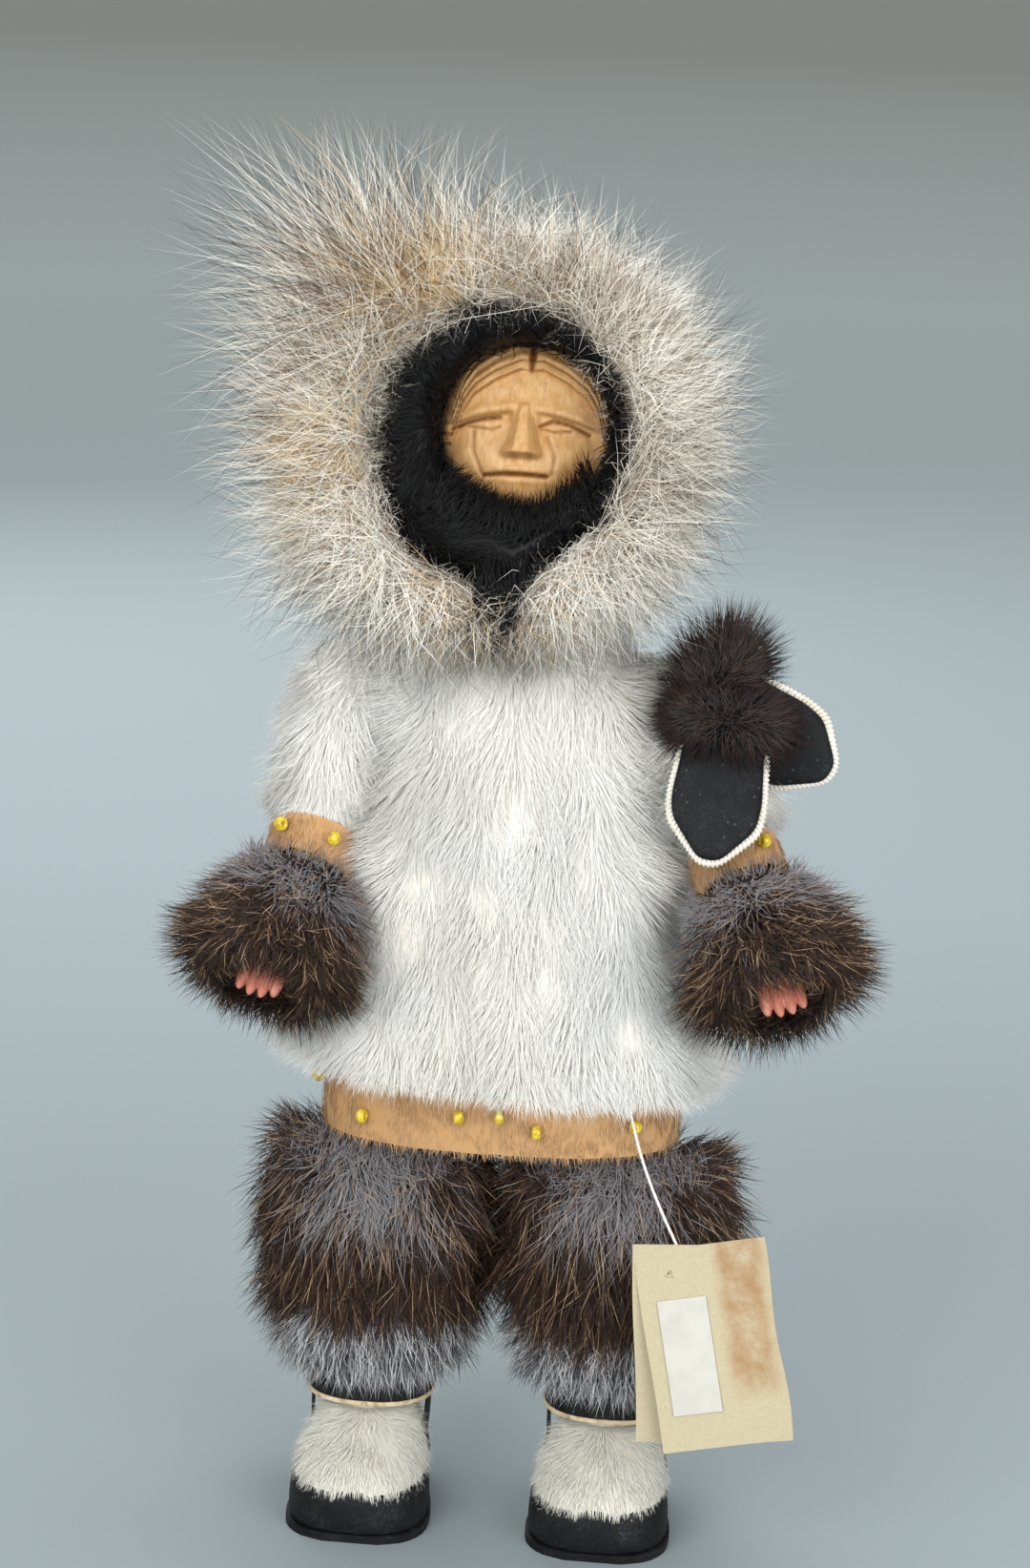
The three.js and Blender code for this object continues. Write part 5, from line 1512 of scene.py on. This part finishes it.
def carve(x, z):
    """Depth of the carved face over its flat back, and its painted shade, darkest in deep knife cuts, under
    the brows and in the nostrils.
    """
    aside = np.abs(x)
    dome = 5.0 + 10.0 * np.sqrt(np.maximum(0, 1 - (x / FACE_WIDE) ** 2 - (z / FACE_HIGH) ** 2))
    # Brows, eye sockets and closed lids
    brow = 5.9 - 0.011 * x**2
    drop = brow - z
    across = ease(2.0, 5.0, aside) * (1 - ease(17.0, 22.0, aside))
    socket = 1.9 * ease(0, 1.5, drop) * (1 - ease(2.0, 11.0, drop)) * across
    ridge = 0.7 * bell(z - brow, 0.8, 1.5) * (1 - ease(14.0, 20.0, aside))
    lid = 0.75 * dab(aside, z, (10.5, 1.6), (4.6, 1.25))
    # Wedge nose
    down = np.clip((7.6 - z) / 13.0, 0, 1)
    half = 1.5 + 4.2 * down**1.2
    wedge = (0.5 + 5.0 * down) * np.clip((half - np.abs(x + 0.2 * down)) / (0.62 * half), 0, 1)
    nose = wedge * (z < 7.6) * (1 - ease(-5.2, -7.4, z))
    wing = 1.3 * dab(aside, z, (4.1, -5.6), (1.5, 1.4))
    nostril = dab(aside, z, (2.1, -6.5), (1.1, 0.9))
    # Mouth and chin
    muzzle = 1.1 * np.exp(-((x / 10.5) ** 4) - ((z + 12.5) / 6.0) ** 4)
    lip = 0.7 * bell(x, 0, 7.5) * (bell(z, -13.1, 1.1) + 0.7 * bell(z, -9.9, 0.9))
    chin = 1.2 * dab(x, z, (0, -19.5), (7.0, 3.5))
    # Hair, in two rolls from the parting
    over = z - np.interp(np.abs(x - PARTING), *np.array(HAIRLINE).T)
    hair = 1.5 * ease(-0.5, 0.35, over) - 0.5 * ease(2.0, 3.4, over)
    roll = 0.35 * np.sin(np.clip(over, 0, 9) * 2.1) * (over > 2.2)
    depth = np.zeros_like(x)
    for points, deep, wide in CUTS:
        depth = np.maximum(depth, deep * np.clip(1 - near_line(x, z, points) / wide, 0, 1))
    band = 0.55 * np.clip(1 - np.abs(over - 2.4) / 0.55, 0, 1)
    band = band + 0.5 * np.clip(1 - np.abs(over + 0.25) / 0.5, 0, 1)
    depth = np.maximum(depth, band * (aside > PARTING))
    facet = 0.12 * np.sin(1.1 * x + 0.7 * np.sin(0.5 * z)) * np.sin(0.9 * z + 0.5)
    total = dome - socket + ridge + lid + nose + wing - nostril + muzzle + lip + chin
    total = total + hair + roll - depth + facet
    # Painted shade: the depth of the knife cuts, the socket just under each brow and the nostrils
    shadow = depth / 1.1 + 0.5 * socket / 1.9 * ease(1.0, 0.2, drop - 0.4) + 0.6 * nostril
    return total, np.clip(shadow, 0, 1)


class DOLL_OT_face(bpy.types.Operator):
    """Carves the wooden face"""

    bl_idname = "doll.face"
    bl_label = "Carved face"

    def execute(self, context):
        face, u, v = new_grid(150, 160, 2.0)
        x = FACE_WIDE * u * np.sqrt(1 - v * v / 2)
        z = FACE_HIGH * v * np.sqrt(1 - u * u / 2)
        depth, cut = carve(x, z)
        set_coordinates(face, head_place(np.stack([x, FACE_BACK - depth, z + FACE_DROP], -1)) * MM)
        # The painted shade is stored as the cut mark for the wood
        mark = face.data.attributes.new("cut", "FLOAT", "POINT")
        mark.data.foreach_set("value", cut.astype(np.float32))
        # The rim is drawn back to a flat back, which is then closed
        back = head_place([[0, FACE_BACK, FACE_DROP]])[0]
        out = np.array([0, -math.cos(HEAD_TILT), -math.sin(HEAD_TILT)])
        edit_all()
        bpy.ops.mesh.region_to_loop()
        bpy.ops.mesh.extrude_edges_move()
        bpy.ops.object.mode_set(mode="OBJECT")
        p = coordinates(face)
        rim = np.zeros(len(p), bool)
        face.data.vertices.foreach_get("select", rim)
        p[rim] -= np.outer((p[rim] / MM - back) @ out, out) * MM
        set_coordinates(face, p)
        bpy.ops.object.mode_set(mode="EDIT")
        bpy.ops.mesh.edge_face_add()
        close_edit()
        finish_piece(face, "wooden_face", carved_wood(), "head", ["carved_face"], 50)
        return {"FINISHED"}


class DOLL_OT_tan_hide(bpy.types.Operator):
    """Makes the tan hip band and sleeve cuffs"""

    bl_idname = "doll.tan_hide"
    bl_label = "Tan hide"

    def execute(self, context):
        long = fur_length("calf")
        points = level_rings("hip_band", np.linspace(*HIP_BAND_RUN, 22), sides=96, soften=1)
        # The seam at the front is drawn in
        seam = np.exp(-((points[..., 0] - DOLL[0] - 1.0) / 1.6) ** 2) * (points[..., 1] < DOLL[1])
        points[..., 1] += 1.3 * seam
        grid = surface(points)

        def streaks(r, a, b):
            return 0.5 + 0.5 * (a - 0.5) + 0.14 * wander(r["place"], 16.0, 9)[:, 0]

        common = dict(patch=9, clump=0.4, soft=0.7, rings=1)
        hairs = coat(grid, 9500, 61, long, 0.36, lift=(0.3, 0.03), sway=0.35, spread=0.14, tuft=5.0, sink=0.2,
                     shade=streaks, weight=lambda r: r["place"][:, 2] < BAND_COVERED, **common)
        pelt("hip_band_hide", [hide(grid, 0.1, 1.8), hairs], calf_hair(), "torso", ["hip_band"])
        for n, side in enumerate(SIDES):
            middles, across, over = arm_line(side, *CUFF_RUN, 10)
            cuff = surface(rings_on(f"sleeve_cuff_{side}", middles, across, over, 48))
            hairs = coat(cuff, 2000, 63 + n, long, 0.36, lift=(0.35, 0.05), sway=0.3, spread=0.15, tuft=4.0,
                         sink=0.7, **common)
            pelt(f"cuff_hide_{side}", [hide(cuff, 0.6, 1.3), hairs], calf_hair(), f"{side}_arm",
                 [f"sleeve_cuff_{side}"])
        return {"FINISHED"}


class DOLL_OT_beads(bpy.types.Operator):
    """Sews on the glass beads"""

    bl_idname = "doll.beads"
    bl_label = "Beads"

    def execute(self, context):
        bodies = frame["record"]["behaviour"]["bodies"]
        for name in (n for n in sorted(frame["nodes"]) if "_bead_" in n):
            p = np.array([v.co for v in frame["nodes"][name].data.vertices])
            middle = (p.min(0) + p.max(0)) / 2
            hole = np.linalg.svd(np.unique(p.round(7), axis=0) - middle)[2][2]
            band = "hip_band" if name.startswith("hip") else f"sleeve_cuff_{name.split('_')[2]}"
            seat = np.array(node_tree(band).find_nearest(Vector(middle / MM))[0]) * MM
            bpy.ops.mesh.primitive_torus_add(
                major_segments=20, minor_segments=10,
                major_radius=BEAD_RING * MM, minor_radius=BEAD_WIRE * MM)
            bead = context.object
            bead.scale = (1, 1, BEAD_STRETCH)
            bead.rotation_mode = "QUATERNION"
            bead.rotation_quaternion = Vector(hole).to_track_quat("Z", "Y")
            bead.location = seat + unit(middle - seat) * BEAD_SEAT * MM
            body = next(j for j, nodes in bodies.items() if name in nodes)
            finish_piece(bead, f"glass_{name}", bead_glass(), body, [name], 60)
        return {"FINISHED"}


class DOLL_OT_wrist_furs(bpy.types.Operator):
    """Grows the brown wrist cuffs and moulds the hands in them"""

    bl_idname = "doll.wrist_furs"
    bl_label = "Wrist furs and hands"

    def execute(self, context):
        long = fur_length("wrist")

        def flow(r):
            open_out = (ease(0.5, 0.75, r["row"]) * ease(0.97, 0.85, r["row"]))[:, None]
            back = ease(0.06, 0.0, r["row"])[:, None]
            return unit(r["down"] * (1 - 0.8 * open_out - 1.4 * back) + r["out"] * (open_out + 0.7 * back))

        def shade(r, a, b):
            grey = ease(0.42, 0.1, r["row"] + 0.16 * (a - 0.5))
            brown, gold = 0.34 + 0.46 * a, 0.86 + 0.13 * a
            return np.where(b < grey * 0.9, 0.22 * a, np.where(b > 0.86, gold, brown))

        def lift(r):
            start = ease(0.4, 0.08, r["row"])[:, None]
            return 1.0 - 0.45 * start, 0.42 - 0.24 * start

        def length(r):
            row = r["row"]
            return long * (0.36 + 0.49 * ease(0.0, 0.3, row) + 0.2 * row - 0.55 * ease(0.8, 0.97, row))

        def sink(r):
            return 8.5 - 5.0 * ease(0.75, 1, r["row"]) - 5.0 * ease(0.3, 0.0, r["row"])

        for n, side in enumerate(SIDES):
            body = f"{side}_arm"
            middles, across, over = arm_line(side, *WRIST_RUN, 24)
            points = rings_on(f"wrist_fur_{side}", middles, across, over, 48)
            grid = surface(points)
            share = np.linspace(0, 1, len(points))[:, None]
            depth = 0.44 - 0.26 * ease(0.7, 1.0, share) - 0.26 * ease(0.3, 0.0, share)
            reach = np.linalg.norm(points - middles[:, None], axis=-1)
            skin = hide(grid, depth * reach, 1.4, tone=(0.35, 0.6))
            hairs = coat(grid, 7100, 71 + n, length, 0.42, lift=lift, sway=0.45, patch=14, spread=0.34,
                         clump=0.5, tuft=8.0, wave=1.2, shade=shade, flow=flow, soft=0.5, sink=sink)
            fringe = coat(grid, 900, 75 + n, 10.0, 0.36, lift=(0.0, 0.0), sway=0.3, patch=9, spread=0.3,
                          clump=0.4, tuft=5.0, wave=0.8, shade=shade, soft=0.5, sink=1.0,
                          flow=lambda r: 0.6 * r["down"] - 0.8 * r["out"], weight=lambda r: r["row"] > 0.93)
            pelt(f"wrist_pelt_{side}", [skin, hairs, fringe], brown_fur(), body,
                 [f"wrist_fur_{side}"])
            hand = copy_node(f"hand_{side}", f"moulded_hand_{side}")
            apply_modifier(hand, "SUBSURF", levels=2, render_levels=2)
            finish_piece(hand, f"moulded_hand_{side}", moulded_skin(), body,
                         [f"hand_{side}"], 60)
        return {"FINISHED"}


class DOLL_OT_leg_furs(bpy.types.Operator):
    """Grows the brown leggings and grey boot cuffs"""

    bl_idname = "doll.leg_furs"
    bl_label = "Leggings and boot cuffs"

    def execute(self, context):
        long, short = fur_length("legging"), fur_length("boot_cuff")

        def shade(r, a, b):
            drop = (LEGGING_TOP - r["place"][:, 2]) / LEGGING_LONG
            uneven = 0.07 * wander(r["place"], 24.0, 15)[:, 0]
            middle = np.clip(1.1 - 1.7 * r["cos"] ** 2, 0.06, 1)
            grey = ease(0.5, 0.22, drop + uneven + 0.16 * (a - 0.5)) * middle
            return np.where(b < grey, 0.22 * a, np.where(b > 0.88, 0.87 + 0.12 * a, 0.36 + 0.46 * a))

        def grizzled(r, a, b):
            return np.where(b < 0.72, 0.22 * a, 0.3 + 0.3 * a)

        def frost(r, a, b):
            return np.where(b < 0.52, 0.3 * a, 0.62 + 0.38 * a)

        def lift(r):
            top = ease(0.25, 0.02, r["row"])[:, None]
            return 0.8 + 0.7 * top, 0.22 + 0.5 * top

        def length(r):
            return long * np.clip(0.6 + 1.1 * r["row"], 0, 1)

        def trim(r):
            return np.minimum(short, (r["place"][:, 2] - BOOT_CUFF_HAIR_END) / 0.72)

        def brow(r):
            return (r["row"] > 0.1) * (r["row"] < 0.26) * np.clip(-0.15 - r["sin"], 0, 1)

        for n, (side, sign) in enumerate(SIDES.items()):
            body = f"{side}_leg"
            # Rings lie closer where the top rounds over
            heights = np.concatenate([[LEGGING_TOP, 110.4, 109.4, 108], np.linspace(106, LEGGING_END, 24)])
            grid = surface(level_rings(f"legging_{side}", heights, x=sign * LEG_OUT, sides=64))
            hairs = coat(grid, 8800, 81 + n, length, 0.42, lift=lift, sway=0.5, patch=18, spread=0.36,
                         clump=0.5, tuft=8.0, wave=1.2, shade=shade, sink=5.0, soft=0.55,
                         weight=lambda r: 0.35 + 0.65 * (r["sin"] < 0.5))
            wisps = coat(grid, 900, 87 + n, 12.5, 0.3, lift=(1.1, 0.35), sway=0.5, patch=9, spread=0.4,
                         clump=0.4, tuft=6.0, wave=1.0, flow=lambda r: -r["down"], weight=brow, sink=3.0,
                         soft=0.6, shade=grizzled)
            skin = hide(grid, 5.0, 1.3, (True, False), (0.35, 0.6))
            pelt(f"legging_pelt_{side}", [skin, hairs, wisps], brown_fur(), body,
                 [f"legging_{side}"])
            heights = np.linspace(*BOOT_CUFF_RUN, 18)
            cuff = surface(level_rings(f"boot_cuff_{side}", heights, x=sign * LEG_OUT, sides=56))
            hairs = coat(cuff, 5400, 85 + n, trim, 0.38, lift=(0.8, 0.2), sway=0.5, patch=10, spread=0.34,
                         clump=0.5, tuft=6.0, wave=0.8, sink=3.4, soft=0.5, shade=frost)
            pelt(f"boot_cuff_pelt_{side}", [hide(cuff, 3.4, 1.3), hairs], grey_fur(), body,
                 [f"boot_cuff_{side}"])
        return {"FINISHED"}


def foot_rows(steps, sides, start, end, lowest):
    """The foot from heel to toe, as arches over it that end at a height."""
    share, _ = route(FOOT_PROFILE, 200)
    at = np.linspace(start, end, steps)
    along, wide, high = (np.interp(at, share[:, 0], share[:, k]) for k in range(3))
    high[0] = 0.4
    bend = 2 / 3
    rise = np.minimum(high, 1) * FOOT_HIGH
    first = np.arcsin(np.clip((lowest - WALL_BASE) / rise, 0, 0.97) ** (1 / bend))
    turn = first[:, None] + (math.pi - 2 * first)[:, None] * np.linspace(0, 1, sides)
    x = wide[:, None] * FOOT_HALF * bent(np.cos(turn), bend)
    z = WALL_BASE + rise[:, None] * np.abs(np.sin(turn)) ** bend
    y = np.broadcast_to((HEEL - along * FOOT_LONG)[:, None], x.shape)
    return np.stack([x, y, z], -1)


def bent(value, bend):
    """A power that keeps the sign, for rounded squares."""
    return np.sign(value) * np.abs(value) ** bend


class DOLL_OT_boots(bpy.types.Operator):
    """Makes the boots: soles, leather walls, white fur tops, ankle ties and welts"""

    bl_idname = "doll.boots"
    bl_label = "Boots"

    # Steps that raise the leather wall: their heights and growth of the outline
    STEPS = [(1.2, 1.012), (3.0, 1.004), (3.0, 0.992), (2.8, 0.985), (1.4, 0.972), (0.45, 0.95)]

    def execute(self, context):
        for n, (side, sign) in enumerate(SIDES.items()):
            base = DOLL + [sign * LEG_OUT, 0, 0]
            body = f"{side}_leg"
            self.wall(base, side, body, n)
            self.vamp(base, side, body, n)
            self.tie(side, body)
            welt = self.strip(base, out=1.95, low=31.5, rise=1.3, thickness=0.9)
            finish_piece(welt, f"boot_welt_{side}", welt_leather(), body, [f"boot_piping_{side}"], 50)
            collar = self.strip(base, out=1.5, low=32.6, rise=6.4, thickness=1.0)
            finish_piece(collar, f"boot_collar_{side}", black_leather(), body, [], 50)
            paint_node(f"sole_{side}", black_leather())
        return {"FINISHED"}

    def wall(self, base, side, body, n):
        """The leather wall: the foot's outline, ragged below, raised in steps that draw in."""
        share, _ = route(FOOT_PROFILE, 60)
        half = np.stack([share[:, 1] * FOOT_HALF, HEEL - share[:, 0] * FOOT_LONG], 1)
        outline = even_loop(np.vstack([half, half[::-1] * [-1, 1]]), 72, 6)
        ragged = np.random.default_rng(5 + n).uniform(0, 0.35, len(outline))
        wall = new_loop((np.column_stack([outline, WALL_BASE + ragged]) + base) * MM)
        edit_all()
        middle = tuple((base + [0, -11.5, 0]) * MM)
        for rise, grow in self.STEPS:
            bpy.ops.mesh.extrude_region_move(TRANSFORM_OT_translate={"value": (0, 0, rise * MM)})
            bpy.ops.transform.resize(value=(grow, grow, 1), center_override=middle)
        bpy.ops.mesh.inset(thickness=3 * MM)
        close_edit()
        finish_piece(wall, f"boot_leather_{side}", black_leather(), body,
                     [f"boot_wall_{side}"], 50)

    def vamp(self, base, side, body, n):
        """The short white fur over the foot, combed out from its crown."""
        long = fur_length("vamp")
        grid = surface(foot_rows(34, 33, 0.0, 0.995, WALL_TOP - 1.2) + base, loop=False)
        crown = base + [0, -10.0, 30.0]

        def flow(r):
            way = r["place"] - crown
            return unit(way - r["out"] * np.sum(way * r["out"], 1, keepdims=True))

        def weight(r):
            front = r["place"][:, 1] - base[1] < -4.5
            return np.where(front, 1.0, 0.6)

        def length(r):
            return np.clip(long * (0.45 + 0.09 * (r["place"][:, 2] - WALL_TOP)), 2.4, long)

        def shade(r, a, b):
            return 0.2 + 0.8 * a - 0.1 * ease(-12, -2, r["place"][:, 1] - base[1])

        hairs = coat(grid, 6400, 91 + n, length, 0.34, lift=(0.4, 0.08), sway=0.2, patch=9, spread=0.14,
                     clump=0.4, tuft=6.0, flow=flow, weight=weight, sink=0.7, soft=0.7, rings=1, shade=shade)
        pelt(f"boot_fur_{side}", [hide(grid, 0.7, 1.0), hairs], white_calf(), body,
             [f"boot_upper_{side}"])

    def tie(self, side, body):
        tie = copy_node(f"ankle_tie_{side}", f"ankle_strap_{side}")
        apply_modifier(tie, "REMESH", mode="VOXEL", voxel_size=0.65 * MM)
        apply_modifier(tie, "SMOOTH", factor=0.5, iterations=4)
        finish_piece(tie, f"ankle_strap_{side}", black_leather(), body,
                     [f"ankle_tie_{side}"], 60)

    def strip(self, base, out, low, rise, thickness):
        """A strip of leather round the ankle."""
        turn = np.linspace(0, FULL_TURN, 72, endpoint=False)
        line = (ANKLE_HALF + out) * bent(np.stack([np.cos(turn), np.sin(turn)], 1), 2 / 2.4)
        strip = new_loop((np.column_stack([line, np.full(72, low)]) + base) * MM, filled=False)
        edit_all()
        bpy.ops.mesh.extrude_region_move(TRANSFORM_OT_translate={"value": (0, 0, rise * MM)})
        bpy.ops.object.mode_set(mode="OBJECT")
        apply_modifier(strip, "SOLIDIFY", thickness=thickness * MM, offset=0.0)
        apply_modifier(strip, "BEVEL", width=0.25 * MM, segments=2, limit_method="ANGLE")
        return strip


class DOLL_OT_mittens(bpy.types.Operator):
    """Makes the pair of mittens with their mink cuffs on the left sleeve"""

    bl_idname = "doll.mittens"
    bl_label = "Mittens"

    # Each mitten's place from the shoulder, and its turn in degrees
    PLACES = {
        "front_mitten": ((15.5, -24.5, 4.5), (66, 0, -4)),
        "side_mitten": ((7, -18, 8), (84, 0, 60)),
    }
    # Heights of each leaf over the mitten's middle plane, with the share of its outline there
    BACK = [(-3.1, 0.35), (-2.85, 0.6), (-2.45, 0.82), (-2.05, 0.95), (-1.6, 1.0), (-0.6, 1.0), (-0.2, 0.98)]
    PALM = [
        (0.0, 0.98), (0.4, 1.0), (1.2, 1.0), (1.8, 0.975), (2.3, 0.91), (2.75, 0.77), (3.05, 0.55),
        (3.2, 0.3),
    ]
    # Shares of the outline and heights along each gather of the edge
    PLEAT = [(0.9, 0.1), (0.95, 0.05), (0.99, -0.35), (1.0, -1.2)]

    def execute(self, context):
        for n, (name, (place, turn)) in enumerate(self.PLACES.items()):
            world = Matrix.Translation(Vector(DOLL + SHOULDER + place) * MM) @ turned(*turn, "ZYX")
            edge = self.leaf(f"{name}_back", world, self.BACK, white_leather(), "white_leather")
            self.leaf(f"{name}_palm", world, self.PALM, palm_leather(), "black_leather")
            self.pleats(f"{name}_pleats", world, edge)
            self.mink(name, world, n)
        return {"FINISHED"}

    def leaf(self, node, world, profile, material, slot):
        """One leather leaf: its CAD outline, rounded, and raised in steps to a padded crown."""
        p = np.array([(*v.co, 1.0) for v in frame["nodes"][node].data.vertices])
        flat = (p @ np.array(world.inverted()).T)[:, :2] / MM
        flat = even_loop(flat[convex_hull_2d([tuple(v) for v in flat])], 96, 4)
        middle = flat.mean(0)

        def put(x, y, z):
            return world @ (Vector((x, y, z)) * MM)

        (low, share), *rest = profile
        made = new_loop([put(*(middle + share * (v - middle)), low) for v in flat])
        edit_all()
        for high, wide in rest:
            step = put(0, 0, high) - put(0, 0, low)
            bpy.ops.mesh.extrude_region_move(TRANSFORM_OT_translate={"value": tuple(step)})
            grow = wide / share
            bpy.ops.transform.resize(value=(grow, grow, grow), center_override=tuple(put(*middle, high)))
            low, share = high, wide
        close_edit()
        finish_piece(made, f"{node}_leather", material, "left_arm", [node], 50)
        return flat

    def pleats(self, name, world, outline):
        """Gathers of the white leather where its edge is drawn over the palm."""
        middle = outline.mean(0)
        lines = [
            [world @ (Vector((*(middle + share * (spot - middle)), z)) * MM) for share, z in self.PLEAT]
            for spot in outline
        ]
        only(tubes(name, lines, 0.42, 1))
        bpy.ops.object.convert(target="MESH")
        finish_piece(bpy.context.object, name, white_leather(), "left_arm", [], 60)

    def mink(self, name, world, n):
        """The dark cuff: a cushion of hair that falls on the front mitten and stands up on the other."""
        long = fur_length("mink")
        polar = np.linspace(0.12, math.pi - 0.12, 16)[:, None]
        turn = np.linspace(0, FULL_TURN, 32, endpoint=False)
        x = np.cos(polar) * MINK_HALF * np.ones(len(turn))
        y = np.sin(polar) * MINK_ROUND * np.cos(turn) - 4.0
        z = np.sin(polar) * MINK_ROUND * np.sin(turn)
        points = in_world(x, y, z, world) / MM
        grid = surface(points)
        middle = points.reshape(-1, 3).mean(0)
        up = np.array(world)[:3, 1]
        rise = np.array([0.2, 0.2, 0.35]) if n else -0.3 * up + np.array([0, 0, -0.15])

        def flow(r):
            return unit(unit(r["place"] - middle) + rise)

        def length(r):
            return long * (1 + n * np.clip(0.55 * unit(r["place"] - middle)[:, 2], -0.3, 0.5))

        skin = hide(grid, 3.4, None, (True, True))
        hairs = coat(grid, 4700, 101 + n, length, 0.38, lift=(1.1, 0.8), sway=0.4, patch=9, spread=0.36,
                     clump=0.5, tuft=7.0, wave=0.8, flow=flow, sink=4.0, soft=0.45)
        pelt(f"{name}_mink_fur", [skin, hairs], mink_fur(), "left_arm", [f"{name}_mink"])


class DOLL_PT_panel(bpy.types.Panel):
    """Lists the doll's pieces in the sidebar"""

    bl_idname = "DOLL_PT_panel"
    bl_label = "Fur doll"
    bl_space_type = "VIEW_3D"
    bl_region_type = "UI"
    bl_category = "Fur doll"

    def draw(self, context):
        for kind in OPERATORS:
            self.layout.operator(kind.bl_idname)
        for group in (context.scene.doll_fur, context.scene.doll_colours, context.scene.doll_stage):
            for name in group.__annotations__:
                self.layout.prop(group, name)


OPERATORS = (
    DOLL_OT_stage, DOLL_OT_tag, DOLL_OT_body, DOLL_OT_parka, DOLL_OT_hood, DOLL_OT_ruff, DOLL_OT_lining,
    DOLL_OT_face, DOLL_OT_tan_hide, DOLL_OT_beads, DOLL_OT_wrist_furs, DOLL_OT_leg_furs, DOLL_OT_boots,
    DOLL_OT_mittens,
)
CLASSES = (FurSizes, StageSizes, DollColours, *OPERATORS, DOLL_PT_panel)


def register():
    for kind in CLASSES:
        bpy.utils.register_class(kind)
    bpy.types.Scene.doll_fur = bpy.props.PointerProperty(type=FurSizes)
    bpy.types.Scene.doll_stage = bpy.props.PointerProperty(type=StageSizes)
    bpy.types.Scene.doll_colours = bpy.props.PointerProperty(type=DollColours)


def unregister():
    for name in ("doll_fur", "doll_stage", "doll_colours"):
        delattr(bpy.types.Scene, name)
    for kind in reversed(CLASSES):
        bpy.utils.unregister_class(kind)


def main():
    register()
    bpy.ops.doll.stage()
    bpy.ops.doll.tag()
    bpy.ops.doll.body()
    bpy.ops.doll.parka()
    bpy.ops.doll.hood()
    bpy.ops.doll.ruff()
    bpy.ops.doll.lining()
    bpy.ops.doll.face()
    bpy.ops.doll.tan_hide()
    bpy.ops.doll.beads()
    bpy.ops.doll.wrist_furs()
    bpy.ops.doll.leg_furs()
    bpy.ops.doll.boots()
    bpy.ops.doll.mittens()


if __name__ == "__main__":
    main()
